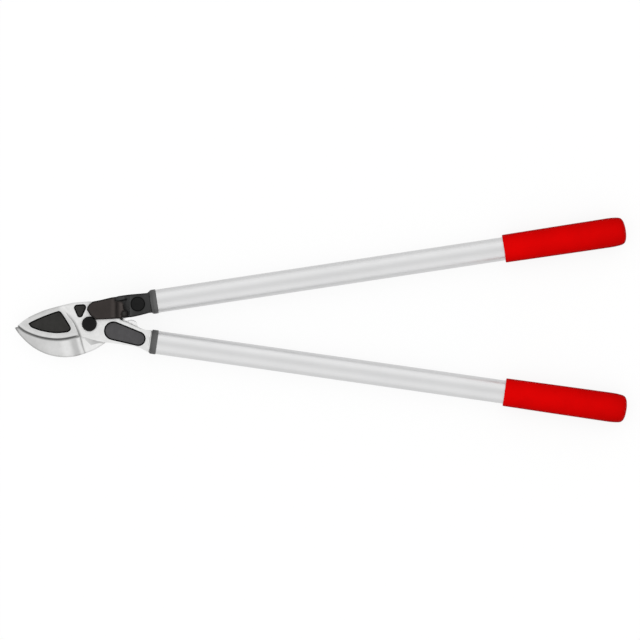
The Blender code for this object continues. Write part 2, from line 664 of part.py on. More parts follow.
def make_main_pivot():
    """The bolt with its toothed head, the segment that locks it, and the nut, washer and cap in front."""
    bush = ring(BOLT_RADIUS + GAP + BUSH_WALL, BOLT_RADIUS + GAP, BLADE_LOW, BOSS_FACE)
    turned_part("blade_bush", bush, BRONZE, tool_root, PIVOT)
    head_top = HOOK_BACK - GAP
    head_low = head_top - TOOTHED_HEAD_THICKNESS
    washer_low = BOSS_FACE + GAP
    nut_low = washer_low + WASHER_THICKNESS + GAP
    nut_top = nut_low + NUT_HEIGHT
    mesh = prism_mesh("bolt_head", bolt_head_outline(), head_low, head_top)
    bolt = add_object("pivot_bolt", mesh, ZINC, hook_pivot)
    shank = ring(BOLT_RADIUS, 0, head_low + OVERLAP, nut_top - GAP, BOLT_CHAMFER)
    boolean(bolt, helper(turned("bolt_shank", shank), hook_pivot), "UNION")
    spanner = ring(HEX_HEAD_RADIUS, 0, 0, head_low + OVERLAP, BOLT_CHAMFER)
    boolean(bolt, helper(turned("bolt_hex", spanner, 6), hook_pivot), "UNION")
    make_lock(head_top)
    washer = ring(NUT_RADIUS, BOLT_RADIUS + GAP, washer_low, washer_low + WASHER_THICKNESS)
    turned_part("pivot_washer", washer, ZINC, hook_pivot, PIVOT)
    nut = ring(NUT_RADIUS, 0, nut_low, nut_top, CHAMFER)
    nut = turned_part("pivot_nut", nut, ZINC, hook_pivot, PIVOT, 6)
    bore(nut, "nut_bore", PIVOT, BOLT_RADIUS + GAP, nut_low - BEYOND, nut_top + BEYOND)
    roof = nut_top + GAP
    shell = domed(PIVOT_CAP_RADIUS, washer_low, roof + CAP_WALL, PIVOT_CAP_CORNER)
    inner = PIVOT_CAP_RADIUS - CAP_WALL
    cap = [*shell, (inner, washer_low), (inner, roof), (0, roof)]
    turned_part("pivot_cap", cap, BLACK_PLASTIC, hook_pivot, PIVOT, 40)


def make_lock(head_top):
    """The toothed segment that stops the bolt from turning, and its screw."""
    low = head_top - SEGMENT_THICKNESS
    mesh = prism_mesh("segment", segment_outline(), low, head_top)
    segment = add_object("locking_segment", mesh, ZINC, hook_pivot)
    hole = LOCK_SCREW_RADIUS + GAP
    bore(segment, "segment_bore", LOCK_PLACE, hole, low - BEYOND, head_top + BEYOND, 16)
    seat = low - GAP
    head_low = seat - LOCK_HEAD_HEIGHT
    screw_top = HOOK_BACK + LOCK_SCREW_DEPTH
    profile = headed(LOCK_SCREW_RADIUS, LOCK_HEAD_RADIUS, screw_top, seat, head_low)
    screw = turned_part("locking_screw", profile, ZINC, hook_pivot, LOCK_PLACE, 20)
    drive_top = head_low + LOCK_DRIVE_DEPTH
    bore(screw, "lock_drive", LOCK_PLACE, LOCK_DRIVE_RADIUS, head_low - BEYOND, drive_top, 6)


def make_stud():
    """The stud that carries the link, riveted in the boss from behind, and its bush."""
    top = LINK_LOW + STUD_LENGTH_IN_LINK
    flange = STUD_RADIUS + STUD_FLANGE
    stud = [(0, top), (STUD_RADIUS - CHAMFER, top), (STUD_RADIUS, top - CHAMFER)]
    stud += [(STUD_RADIUS, BLADE_LOW + STUD_FLANGE), (flange, BLADE_LOW + STUD_FLANGE)]
    turned_part("link_stud", [*stud, (flange, BLADE_LOW), (0, BLADE_LOW)], ZINC, tool_root, STUD)
    bush = ring(STUD_RADIUS + GAP + LINK_BUSH_WALL, STUD_RADIUS + GAP, LINK_LOW, top)
    turned_part("link_bush", bush, BRONZE, link_pivot, STUD)


def link_outline():
    """The link from its round end along the top, down to the tongue, round the knuckle, and back."""
    return joined(
        arc(STUD, LINK_END_RADIUS, 256, 100, 14),
        smooth(LINK_TOP, 2),
        smooth(LINK_TONGUE, 2),
        arc(KNUCKLE, TONGUE_END_RADIUS, 42, -88, 9),
        LINK_BOTTOM,
    )


def make_link():
    """The lever between boss and handle head, with its thin tongue, and the pin of the knuckle."""
    mesh = prism_mesh("link", link_outline(), LINK_LOW, LINK_FACE)
    link = add_object("lever_link", mesh, BLACK_STEEL, link_pivot)
    soften(link, LEVER_ROUND, 2)
    lean = LINK_END_SLOPE / (LINK_FACE - TONGUE_FACE)
    levels = []
    for height in (TONGUE_FACE, LINK_FACE + BEYOND):
        x = LINK_TOP[-1][0] - lean * (height - TONGUE_FACE)
        levels.append(([(x, -REACH), (REACH, -REACH), (REACH, REACH), (x, REACH)], height))
    cut(link, stacked_mesh("tongue_relief", levels))
    bush_bore = STUD_RADIUS + LINK_BUSH_WALL + 2 * GAP
    bush_end = LINK_LOW + STUD_LENGTH_IN_LINK + GAP
    bore(link, "link_bush_bore", STUD, bush_bore, LINK_LOW - BEYOND, bush_end)
    pin_bore = KNUCKLE_PIN_RADIUS + GAP
    bore(link, "link_pin_bore", KNUCKLE, pin_bore, LINK_LOW - BEYOND, LINK_FACE + BEYOND, 20)
    seat = TONGUE_FACE + GAP
    pin = headed(
        KNUCKLE_PIN_RADIUS, KNUCKLE_HEAD_RADIUS, BLADE_LOW + GAP, seat, seat + KNUCKLE_HEAD_HEIGHT
    )
    turned_part("knuckle_pin", pin, ZINC, link_pivot, KNUCKLE, 20)


def head_plate_outline():
    """The thin front of the handle head, behind the link's tongue, round the knuckle."""
    inside = PLATE_BOTTOM[-1][0]
    top = [p for p in smooth(HEAD_TOP) if p[0] < inside]
    return joined(
        [(inside, top[0][1] - HEAD_END_MARGIN), *top],
        smooth(HEAD_PLATE_FRONT, 3),
        arc(KNUCKLE, KNUCKLE_LUG_RADIUS, 165, 272, 9),
        PLATE_BOTTOM,
    )


def head_body_outline():
    """The full height of the handle head, from the wall behind the tongue to the collar."""
    half = SPIGOT_RADIUS + HEAD_END_MARGIN
    top = [p for p in smooth(HEAD_TOP) if p[0] > HEAD_WALL_X + HEAD_END_MARGIN]
    wall = [top[-1][1] - HEAD_END_MARGIN, HEAD_BOTTOM[0][1] + HEAD_END_MARGIN]
    return joined(
        [on_handle(1, -GAP, half), *top],
        [(HEAD_WALL_X, y) for y in wall],
        smooth(HEAD_BOTTOM, 3),
        [on_handle(1, -GAP, -half)],
    )


def slot_outline():
    """The fork's slot: round the tail on the right, open above, below and to the left."""
    curve = arc(FORK, TAIL_RADIUS + 2 * GAP, -52, 72, 12)
    low, high = (curve[0][0], -REACH), (curve[-1][0], REACH)
    return joined([(-REACH, -REACH), low], curve, [high, (-REACH, REACH)])


def make_handle_head():
    """The lever's fork: it holds the hook's tail between two cheeks and the upper tube on its spigot."""
    mesh = prism_mesh("head", head_body_outline(), CHEEK_BACK, LINK_FACE)
    head = add_object("handle_head", mesh, BLACK_STEEL, head_pivot)
    soften(head, LEVER_ROUND, 2)
    mesh = prism_mesh("head_plate", head_plate_outline(), HOOK_FACE - OVERLAP, BOSS_FACE)
    plate = helper(bpy.data.objects.new("head_plate", mesh), head_pivot)
    soften(plate, PLATE_ROUND, 1, lambda middle: middle.z > BLADE_FACE)
    boolean(head, plate, "UNION")
    spigot = turned("head_spigot", [*spigot_profile(-BEYOND), (0, -BEYOND)], 36)
    boolean(head, in_handle(spigot, upper_handle), "UNION")
    outside = [(REACH, 0.0), (REACH, HEAD_SHOULDER[0][1])]
    flank = turned("head_flank", [*outside, *HEAD_SHOULDER], 36)
    boolean(head, in_handle(flank, upper_handle))
    cut(head, prism_mesh("fork_slot", slot_outline(), CHEEK_FACE, BLADE_LOW))
    shelf = LINK_FACE - FORK_CAP_SINK - GAP
    drops = [
        (FORK_CAP_RADIUS + GAP, shelf), (FORK_HEAD_RADIUS + GAP, shelf - FORK_HEAD_HEIGHT),
        (FORK_BOLT_RADIUS + GAP, CHEEK_BACK - BEYOND),
    ]
    stepped_bore(head, "fork_bore", FORK, LINK_FACE + BEYOND, drops, 40)
    pin_room = KNUCKLE_PIN_RADIUS + KNUCKLE_PLAY + GAP
    bore(head, "knuckle_bore", KNUCKLE, pin_room, BLADE_LOW - BEYOND, BOSS_FACE + BEYOND, 24)
    bore_tube_pin(head, "upper", upper_handle)


def make_fork_pivot():
    """The bolt through fork and tail, its bush, cap, washer and nut."""
    shelf = LINK_FACE - FORK_CAP_SINK - GAP
    seat = shelf - FORK_HEAD_HEIGHT + GAP
    washer_top = CHEEK_BACK - GAP
    washer_low = washer_top - FORK_WASHER_THICKNESS
    nut_top = washer_low - GAP
    hole = FORK_BOLT_RADIUS + GAP
    turned_part("fork_bush", ring(hole + BUSH_WALL, hole, HOOK_BACK, HOOK_FACE), BRONZE, hook_pivot, FORK)
    bolt = headed(FORK_BOLT_RADIUS, FORK_HEAD_RADIUS, FORK_BOLT_END, seat, shelf - GAP)
    turned_part("fork_bolt", bolt, ZINC, head_pivot, FORK)
    base = shelf + GAP
    cap = [*domed(FORK_CAP_RADIUS, base, base + FORK_CAP_HEIGHT, FORK_CAP_CORNER), (0, base)]
    turned_part("fork_cap", cap, BLACK_PLASTIC, head_pivot, FORK, 40)
    washer = ring(FORK_WASHER_RADIUS, hole, washer_low, washer_top)
    turned_part("fork_washer", washer, ZINC, head_pivot, FORK)
    nut = turned_part("fork_nut", ring(FORK_NUT_RADIUS, 0, 0, nut_top, CHAMFER), ZINC, head_pivot, FORK, 6)
    bore(nut, "fork_nut_bore", FORK, hole, -BEYOND, nut_top + BEYOND)


def make_bumper():
    """A rubber wedge between the knuckle's lug and the arm, in its notch."""
    seat = smooth(BUMPER_SEAT, 3)
    resting = [tuple(np.array(p) + side * GAP) for p, side in zip(seat, normals(seat))]
    outline = joined(resting, arc(KNUCKLE, KNUCKLE_LUG_RADIUS + GAP, 205, 259, 6))
    mesh = prism_mesh("bumper", outline, BLADE_LOW + GAP, BOSS_FACE - GAP)
    add_object("stop_bumper", mesh, RUBBER, tool_root)


def collar_profile(front):
    """A ring from a lip at the back to the front, given as (depth, place along it) points."""
    outer = COLLAR_DIAMETER / 2
    inner = SPIGOT_RADIUS + GAP
    back = [(inner, COLLAR_LENGTH), (outer - COLLAR_LIP, COLLAR_LENGTH), (outer, COLLAR_LENGTH - COLLAR_LIP)]
    return [*back, *((outer - depth, along) for depth, along in front), (inner, 0.0)]


def grip_profile():
    """A sleeve that widens towards the butt, with a rolled front lip and a softly domed end."""
    front, rear = GRIP_FRONT_DIAMETER / 2, GRIP_REAR_DIAMETER / 2
    inner = TUBE_DIAMETER / 2 + GAP
    flat = rear - GRIP_CORNER
    share, loss = GRIP_CROWN_POINT
    corner = arc((flat, GRIP_END - GRIP_CROWN - GRIP_CORNER), GRIP_CORNER, 90, 0, 5)
    swell = ((front + rear) / 2 + GRIP_SWELL, GRIP_START + GRIP_SWELL_SHARE * GRIP_LENGTH)
    lip = [(front - depth, GRIP_START + along) for depth, along in GRIP_LIP]
    outside = [(0, GRIP_END), (flat * share, GRIP_END - loss * GRIP_CROWN), *corner, swell, *lip]
    return [*outside, (inner, GRIP_START), (inner, PLUG_END + GAP), (0, PLUG_END + GAP)]


def make_handle(side, handle):
    """Collar, tube, pin, plug and grip, all on the handle's own axis."""
    name = "upper" if side > 0 else "lower"
    outer = TUBE_DIAMETER / 2
    collar = collar_profile(COLLAR_TAPER if side > 0 else COLLAR_CHAMFER)
    in_handle(turned(name + "_collar", collar, 36), handle, GREY_PLASTIC)
    tube = turned(name + "_tube", ring(outer, outer - TUBE_WALL, TUBE_START, TUBE_END), 36)
    in_handle(tube, handle, ALUMINIUM)
    hole = turned(name + "_tube_hole", ring(TUBE_PIN_DIAMETER / 2 + GAP, 0, -outer - BEYOND, -outer / 2), 16)
    boolean(tube, in_handle(hole, handle, None, TUBE_PIN_PLACE, True))
    pin = ring(TUBE_PIN_DIAMETER / 2, 0, GAP - outer, TUBE_PIN_LENGTH - SPIGOT_RADIUS - GAP)
    in_handle(turned(name + "_tube_pin", pin, 16), handle, ZINC, TUBE_PIN_PLACE, True)
    plug = [(0, PLUG_END), (outer, PLUG_END), (outer, TUBE_END + GAP), (SPIGOT_RADIUS, TUBE_END + GAP)]
    plug += [(SPIGOT_RADIUS, TUBE_END - PLUG_LENGTH), (0, TUBE_END - PLUG_LENGTH)]
    in_handle(turned(name + "_tube_plug", plug), handle, BLACK_PLASTIC)
    in_handle(turned(name + "_grip", grip_profile(), 40), handle, RED_GRIP)


def empty(name, place, carrier=None, height=0.0, turn=0.0):
    """A pivot or a handle's start, which carries the parts that move with it."""
    made = bpy.data.objects.new(name, None)
    tool.objects.link(made)
    made.location = (*place, height)
    made.rotation_euler = (0, 0, turn)
    bpy.context.view_layer.update()
    if carrier:
        carry(made, carrier, tool)
        bpy.context.view_layer.update()
    return made


def smooth_by_angle():
    """A modifier's node group that shades smooth, except across edges as sharp as SMOOTH_ANGLE."""
    group = bpy.data.node_groups.new("smooth_by_angle", "GeometryNodeTree")
    group.interface.new_socket("Geometry", in_out="INPUT", socket_type="NodeSocketGeometry")
    group.interface.new_socket("Geometry", in_out="OUTPUT", socket_type="NodeSocketGeometry")
    kinds = ("NodeGroupInput", "GeometryNodeSetShadeSmooth", "GeometryNodeSetShadeSmooth", "NodeGroupOutput")
    source, faces, edges, result = (group.nodes.new(kind) for kind in kinds)
    angle = group.nodes.new("GeometryNodeInputMeshEdgeAngle")
    gentle = group.nodes.new("FunctionNodeCompare")
    gentle.operation = "LESS_THAN"
    gentle.inputs["B"].default_value = SMOOTH_ANGLE
    edges.domain = "EDGE"
    for first, second in zip((source, faces, edges), (faces, edges, result)):
        group.links.new(first.outputs["Geometry"], second.inputs["Geometry"])
    group.links.new(angle.outputs["Unsigned Angle"], gentle.inputs["A"])
    group.links.new(gentle.outputs["Result"], edges.inputs["Shade Smooth"])
    return group


for old in list(bpy.data.objects):
    bpy.data.objects.remove(old)
bpy.context.scene.unit_settings.scale_length = 1.0
tool = bpy.data.collections.new("lopper")
cutters = bpy.data.collections.new("cutters")
bpy.context.scene.collection.children.link(tool)
bpy.context.scene.collection.children.link(cutters)

tool_root = empty("blade_body", PIVOT)
hook_pivot = empty("hook_pivot", PIVOT, tool_root)
head_pivot = empty("head_pivot", FORK, hook_pivot)
link_pivot = empty("link_pivot", STUD, tool_root)
upper_handle = empty("upper_handle", START_UPPER, head_pivot, AXIS_HEIGHT, HANDLE_ANGLE)
lower_handle = empty("lower_handle", START_LOWER, tool_root, AXIS_HEIGHT, -HANDLE_ANGLE)

make_blade_arm()
make_hook_arm()
make_main_pivot()
make_stud()
make_link()
make_handle_head()
make_fork_pivot()
make_bumper()
make_handle(1, upper_handle)
make_handle(-1, lower_handle)

shading = smooth_by_angle()
for part in tool.objects:
    if part.type == "MESH":
        part.modifiers.new("Smooth by angle", "NODES").node_group = shading
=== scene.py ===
"""Looks of the long-handled bypass lopper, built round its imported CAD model."""
import json
import math

import bmesh
import bpy
import numpy as np
from mathutils import Matrix, Vector, geometry, kdtree


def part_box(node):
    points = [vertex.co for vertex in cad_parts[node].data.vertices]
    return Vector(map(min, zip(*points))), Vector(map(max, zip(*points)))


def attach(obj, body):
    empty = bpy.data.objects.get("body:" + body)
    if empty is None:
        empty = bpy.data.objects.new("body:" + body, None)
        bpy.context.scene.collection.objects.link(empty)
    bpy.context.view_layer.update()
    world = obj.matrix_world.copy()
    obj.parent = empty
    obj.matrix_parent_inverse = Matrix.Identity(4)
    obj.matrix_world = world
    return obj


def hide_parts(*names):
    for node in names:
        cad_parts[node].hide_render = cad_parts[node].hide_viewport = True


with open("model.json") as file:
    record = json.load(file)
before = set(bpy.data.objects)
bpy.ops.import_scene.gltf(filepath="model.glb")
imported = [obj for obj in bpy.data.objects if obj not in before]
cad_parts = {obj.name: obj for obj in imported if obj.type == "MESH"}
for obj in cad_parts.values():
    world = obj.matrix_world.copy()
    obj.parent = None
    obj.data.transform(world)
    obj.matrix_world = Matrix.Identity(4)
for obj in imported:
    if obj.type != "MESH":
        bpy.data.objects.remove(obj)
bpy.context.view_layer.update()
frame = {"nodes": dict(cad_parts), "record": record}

nodes = frame["nodes"]

# Camera, as in the photograph: straight down with a long lens
VIEW_CENTRE = (0.3168, 0.0041)
VIEW_WIDTH = 0.8806
LENS, SENSOR = 600.0, 36.0
ROLL = math.radians(-0.23)
VIEW_REACH = 200.0

# Sizes of the part's source, which the pieces here follow
GAP = 0.0003
HANDLE_ANGLE = math.radians(8.37)
HANDLE_START_X = 0.084
HANDLE_OFFSET = 0.027
MIDLINE_Y = 0.0025
AXIS_HEIGHT = 0.0202
TUBE_RADIUS, TUBE_WALL = 0.016, 0.0016
TUBE_START, TUBE_END = 0.0091, 0.6507
TUBE_BORE = TUBE_RADIUS - TUBE_WALL
COLLAR_RADIUS, COLLAR_LENGTH = 0.0167, 0.0088
SPIGOT_RADIUS = TUBE_BORE - GAP
SPIGOT_END = 0.045
GRIP_START, GRIP_END = 0.4911, 0.66052
GRIP_FRONT, GRIP_REAR = 0.0192, 0.02013  # radii
PLUG_END = 0.653
PIN_PLACE, PIN_RADIUS = 0.03, 0.002
BLADE_THICKNESS, BOSS_THICKNESS, HOOK_THICKNESS = 0.0044, 0.008, 0.0065
LINK_THICKNESS, TONGUE_THICKNESS, CHEEK_THICKNESS = 0.008, 0.0045, 0.005
CUT_HEIGHT = AXIS_HEIGHT - 0.001
BLADE_LOW = CUT_HEIGHT + GAP / 2
BLADE_FACE = BLADE_LOW + BLADE_THICKNESS
BOSS_FACE = BLADE_LOW + BOSS_THICKNESS
HOOK_FACE = CUT_HEIGHT - GAP / 2
HOOK_BACK = HOOK_FACE - HOOK_THICKNESS
LINK_LOW = BOSS_FACE + GAP
LINK_FACE = LINK_LOW + LINK_THICKNESS
TONGUE_FACE = LINK_LOW + TONGUE_THICKNESS
CHEEK_FACE = HOOK_BACK - GAP
CHEEK_BACK = CHEEK_FACE - CHEEK_THICKNESS
PIVOT = (0.0, 0.0)
STUD = (0.01, 0.0194)
KNUCKLE = (0.048, 0.0142)
FORK_SETBACK = 0.0175
FORK = (
    HANDLE_START_X - FORK_SETBACK * math.cos(HANDLE_ANGLE),
    MIDLINE_Y + HANDLE_OFFSET - FORK_SETBACK * math.sin(HANDLE_ANGLE),
)
TAIL_RADIUS = 0.011
SLOT_RADIUS = TAIL_RADIUS + 2 * GAP
HOOK_BOSS_RADIUS = 0.024
HOOK_RELIEF = 0.002
COVE = 0.0032
KEEN = 0.0003
EDGE_BEVEL = 0.0024
FACE_GRIND = 0.0068
LEAF_DEPTH, POCKET_DEPTH = 0.001, 0.0014
HEAD_WALL_X = 0.0556

# Forms that are finer here than in the source
RAMP = 0.005  # width of the blade's step where it ends softly
RAMP_FROM, RAMP_OVER = 0.006, 0.014  # where along Y the cove turns into that ramp
STEP_LEAD, STEP_BLEND = 0.0014, 0.0019  # how far before the step the blade's grinds fade, and how fast
GRIND_FADE, HOLLOW_POWER = 0.0008, 1.6
FREE_RISE = 0.01  # more than any face stands above the ground edge
EDGE_CLEAR, EDGE_FADE = 0.0005, 0.003  # how near to the cutting edge the rounding stops
EDGE_ROUND, UNDER_ROUND, LEVER_ROUND, FACE_ROUND = 0.0008, 0.0005, 0.001, 0.0006
NECK_LENGTH, NECK_ROOT, NECK_END = 0.012, 0.0005, SPIGOT_RADIUS + 0.001
NECK_BLEND = 0.0012
ARM_HALF = SPIGOT_RADIUS + 0.0013
HEAD_HALF = SPIGOT_RADIUS + 0.0006
POCKET_WALL, POCKET_FILLET = 0.0002, 0.0005
POCKET_RINGS = (0.0002, 0.00035, 0.0005, 0.0007)  # where the pockets' walls and fillets bend
COAT, COAT_SINK = 0.00004, 0.0003  # a pocket's dark coat above its floor, and into it
RIM = 0.0019  # width of the dark groove round each pocket's pad
PAD_RISE, PAD_SINK, PAD_ROUND = 0.0005, 0.0002, 0.0004
FINE, MEDIUM, COARSE = 0.0007, 0.0008, 0.0009  # how closely the outlines' points follow each other
GRIP_LIP, LIP_ROUND, GRIP_SWELL = 0.0012, 0.001, 0.0001
# The butt's profile: how far before the grip's end, and how much less than its rear radius
GRIP_BUTT = (
    (0.0, GRIP_REAR), (0.0002, 0.0155), (0.0008, 0.011), (0.0016, 0.0078), (0.0027, 0.0052),
    (0.0042, 0.0032), (0.0062, 0.0019), (0.009, 0.0011), (0.0135, 0.0005), (0.019, 0.0001),
    (0.024, 0.0),
)
CAP_DISH = ((0.0003, 0), (0.0003, 0.45), (0.00022, 0.55), (0.00005, 0.62))  # depth, share of the radius

BLADE_SPINE = (
    (-0.0989, -0.0028), (-0.0941, 0.0021), (-0.0844, 0.0089), (-0.0689, 0.0162),
    (-0.0554, 0.021), (-0.0264, 0.0283), (-0.0119, 0.0301), (-0.0003, 0.0309),
)
BLADE_EDGE = (
    (-0.0989, -0.0028), (-0.091, -0.009), (-0.0814, -0.0138), (-0.0689, -0.0181),
    (-0.0554, -0.0207), (-0.0429, -0.0215), (-0.0312, -0.0203), (-0.0206, -0.0181),
    (-0.0142, -0.0166),
)
ARM_BELLY = ((-0.0142, -0.0166), (-0.0074, -0.0181), (0.006, -0.0222), (0.0188, -0.0253))
ARM_BOTTOM = ((0.0188, -0.0253), (0.036, -0.0272), (0.0543, -0.0299), (0.068, -0.0328))
ARM_TOP = ((0.0752, -0.008), (0.064, -0.003), (0.0504, 0.003), (0.0466, 0.004))
BOSS_RIGHT = (
    (0.0352, 0.012), (0.0335, 0.019), (0.0285, 0.0245), (0.019, 0.029), (0.008, 0.0306),
)
STEP_LINE = (
    (-0.042, 0.033), (-0.037, 0.0225), (-0.0295, 0.0131), (-0.0217, 0.0034),
    (-0.0178, -0.0045), (-0.0138, -0.0144), (-0.0117, -0.021), (-0.0089, -0.032),
    (-0.006, -0.04), (-0.003, -0.048),
)
LEAF = (
    (-0.0832, -0.0006), (-0.0816, 0.0025), (-0.0624, 0.0112), (-0.044, 0.0176),
    (-0.0405, 0.0174), (-0.0373, 0.0144), (-0.0315, 0.0055), (-0.0261, -0.0036),
    (-0.0256, -0.0075), (-0.0281, -0.0103), (-0.033, -0.0118), (-0.0477, -0.0126),
    (-0.065, -0.0098), (-0.0766, -0.006), (-0.0811, -0.0034),
)
TRIANGLE_CORNERS = (
    (-0.0168, 0.0222, 0.0044), (-0.0129, 0.0131, 0.0043), (-0.0086, 0.0228, 0.0044),
)
ARM_SLOT_ENDS = ((0.033, -0.0096, 0.013), (0.0672, -0.0206, 0.0101))
HOOK_BELLY = (
    (-0.1027, -0.005), (-0.0989, -0.0109), (-0.0939, -0.0171), (-0.0862, -0.0248),
    (-0.0766, -0.0325), (-0.065, -0.0389), (-0.0535, -0.043), (-0.0409, -0.0453),
    (-0.0302, -0.0456), (-0.0186, -0.0442), (-0.0071, -0.0408), (0.0045, -0.0365),
    (0.0152, -0.0306), (0.0229, -0.0252),
)
HOOK_UNDER_ARM = (
    (0.0229, -0.0252), (0.034, -0.0195), (0.048, -0.0165), (0.06, -0.014), (0.0655, -0.0105),
    (0.0669, -0.0052), (0.0645, 0.002), (0.058, 0.0052), (0.0503, 0.0038),
)
TAIL_LOWER = ((0.0475, 0.0064), (0.056, 0.0108))
TAIL_UPPER = ((0.04, 0.03), (0.02, 0.0256))
HOOK_INNER = (
    (-0.0275, -0.0112), (-0.037, -0.0148), (-0.05, -0.0158), (-0.066, -0.0133),
    (-0.08, -0.0088), (-0.092, -0.0048), (-0.099, -0.0038), (-0.1027, -0.005),
)
# The lever's round end: degrees round the stud, and distance from it
LINK_END = (
    (267.5, 0.0136), (262.5, 0.0131), (253.3, 0.0117), (243.4, 0.01135), (229.6, 0.01135),
    (214.5, 0.01135), (204.0, 0.01138), (197.0, 0.01155), (190.0, 0.0121), (184.0, 0.01275),
    (176.0, 0.0131), (165.0, 0.01295), (150.0, 0.0125), (135.0, 0.0122), (120.0, 0.0122),
    (106.0, 0.01225),
)
LINK_TOP = ((0.0098, 0.0316), (0.018, 0.0333), (0.0284, 0.0358), (0.0357, 0.037))
LINK_TONGUE = (
    (0.0357, 0.031), (0.04, 0.0309), (0.044, 0.0306), (0.0458, 0.0298), (0.047, 0.028),
    (0.0476, 0.024), (0.0481, 0.0204), (0.0498, 0.0189),
)
LINK_BOTTOM = ((0.0445, 0.0078), (0.04, 0.0072), (0.0284, 0.0065), (0.018, 0.006))
LINK_STEP, LINK_SLOPE = 0.0388, 0.0036
HEAD_TOP = (
    (0.0795, 0.0422), (0.0697, 0.0413), (0.0559, 0.0402), (0.0422, 0.0384), (0.0362, 0.037),
)
HEAD_PLATE_FRONT = ((0.0362, 0.037), (0.0342, 0.0352), (0.0345, 0.031), (0.041, 0.024))
HEAD_BOTTOM = (
    (0.0559, 0.0088), (0.062, 0.0098), (0.0697, 0.0115), (0.076, 0.0131), (0.0821, 0.0147),
)
PLATE_END = (0.053, 0.0085)
HEAD_SHOULDER = ((-0.01, 0.022), (-0.004, 0.0177), (0.0, 0.0161))  # place along the handle, radius
BUMPER_SEAT = (
    (0.0464, 0.0048), (0.0448, 0.005), (0.0432, 0.0056), (0.0421, 0.0069), (0.0411, 0.0092),
)
BUMPER = (
    (0.0414, 0.0096), (0.0424, 0.0071), (0.0434, 0.0059), (0.0449, 0.0053), (0.046, 0.0054),
    (0.046, 0.0076),
)
HOOK_FACET = (
    (-0.0085, -0.015), (-0.0063, -0.0222), (0.002, -0.03), (0.0215, -0.0245), (0.019, -0.02),
)
FACET_RUN = 0.0012  # how far inside its outline the facet reaches its depth
LOCK_SCREW = (0.0, -0.01655)

# Painted light and shade bands across the lever and the head: place along X, and how much darker (below
# zero, painted light)
LEVER_BANDS = (
    (0.0285, 0.0), (0.031, -0.4), (0.0335, -0.5), (0.0347, -0.2), (0.0358, 0.05), (0.037, 0.35),
    (0.039, 0.4), (0.0402, 0.25), (0.0414, -0.25), (0.0426, -0.7), (0.0446, -0.8), (0.0462, -0.75),
    (0.0476, 0.05), (0.05, 0.15), (0.0512, -0.15), (0.0526, -0.5), (0.0556, -0.85), (0.0575, -0.45),
    (0.061, -0.1), (0.073, 0.0), (0.075, -0.25),
)
NO_SHADE = -9.0  # lets every other shade win
# PALE_SHADE is a painted highlight on the head's plate
PALE_SHADE = -0.75  # of the head's plate beyond the tongue
# DARK_CENTRE centres a ring of painted shade round the knuckle pin
DARK_CENTRE = (0.0484, 0.0134)  # of the ring round the knuckle pin
# the slanted dark line is a painted shadow along the tongue's edge
GAP_START, GAP_SLOPE = (0.0387, 0.0302), 0.285  # the slanted dark line in the head's plate
# right of LOBE_X the hook gets painted light
LOBE_X = 0.03  # right of it, the hook is paler


def arc(centre, radius, start, end, steps):
    """Points on a circle, from one angle to another in degrees."""
    angles = np.radians(np.linspace(start, end, steps + 1))
    return [(centre[0] + radius * math.cos(a), centre[1] + radius * math.sin(a)) for a in angles]


def circle(centre, radius, steps):
    return arc(centre, radius, 0, 360, steps)[:-1]


def smooth(points, steps=10):
    """A Catmull-Rom curve through the points."""
    points = np.array(points)
    ends = [2 * points[0] - points[1], *points, 2 * points[-1] - points[-2]]
    curve = []
    for before, first, second, after in zip(ends, ends[1:], ends[2:], ends[3:]):
        for t in np.arange(steps) / steps:
            curve.append(tuple(
                first + 0.5 * t * (second - before)
                + t * t * (before - 2.5 * first + 2 * second - 0.5 * after)
                + 0.5 * t ** 3 * (3 * (first - second) + after - before)
            ))
    return [*curve, tuple(points[-1])]


def joined(*runs):
    """One outline from several runs, without doubled points."""
    outline = []
    for point in (p for run in runs for p in run):
        if not outline or math.dist(point, outline[-1]) > 1e-5:
            outline.append(tuple(point))
    if math.dist(outline[0], outline[-1]) < 1e-5:
        outline.pop()
    return outline


def capsule(circles, steps):
    """The hull of circles (x, y, radius), given anticlockwise, as an outline."""
    outline = []
    for before, middle, after in zip([circles[-1], *circles], circles, [*circles[1:], circles[0]]):
        turns = []
        for first, second in ((before, middle), (middle, after)):
            heading = math.atan2(second[1] - first[1], second[0] - first[0])
            lean = math.asin((first[2] - second[2]) / math.dist(first[:2], second[:2]))
            turns.append(math.degrees(heading - math.pi / 2 + lean))
        while turns[1] < turns[0]:
            turns[1] += 360
        outline += arc(middle, middle[2], *turns, steps)
    return joined(outline)


def spaced(loop, pitch):
    """The closed loop with points added, none further apart than the pitch."""
    out = []
    for first, second in zip(loop, [*loop[1:], loop[0]]):
        count = max(1, math.ceil(math.dist(first, second) / pitch))
        out += [tuple(a + i / count * (b - a) for a, b in zip(first, second)) for i in range(count)]
    return out


def area(loop):
    x, y = np.array(loop).T
    return 0.5 * float(np.sum(x * np.roll(y, -1) - np.roll(x, -1) * y))


def inset(loop, depth):
    """The closed loop moved inwards by a small depth."""
    p = np.array(loop if area(loop) > 0 else loop[::-1])
    steps = np.roll(p, -1, 0) - p
    steps /= np.linalg.norm(steps, axis=1)[:, None]
    across = np.stack([-steps[:, 1], steps[:, 0]], 1)
    both = across + np.roll(across, 1, 0)
    both /= np.maximum(1e-9, np.linalg.norm(both, axis=1))[:, None]
    stretch = 1 / np.maximum(0.5, np.sum(both * across, 1))
    return [tuple(v) for v in p + both * (depth * stretch)[:, None]]


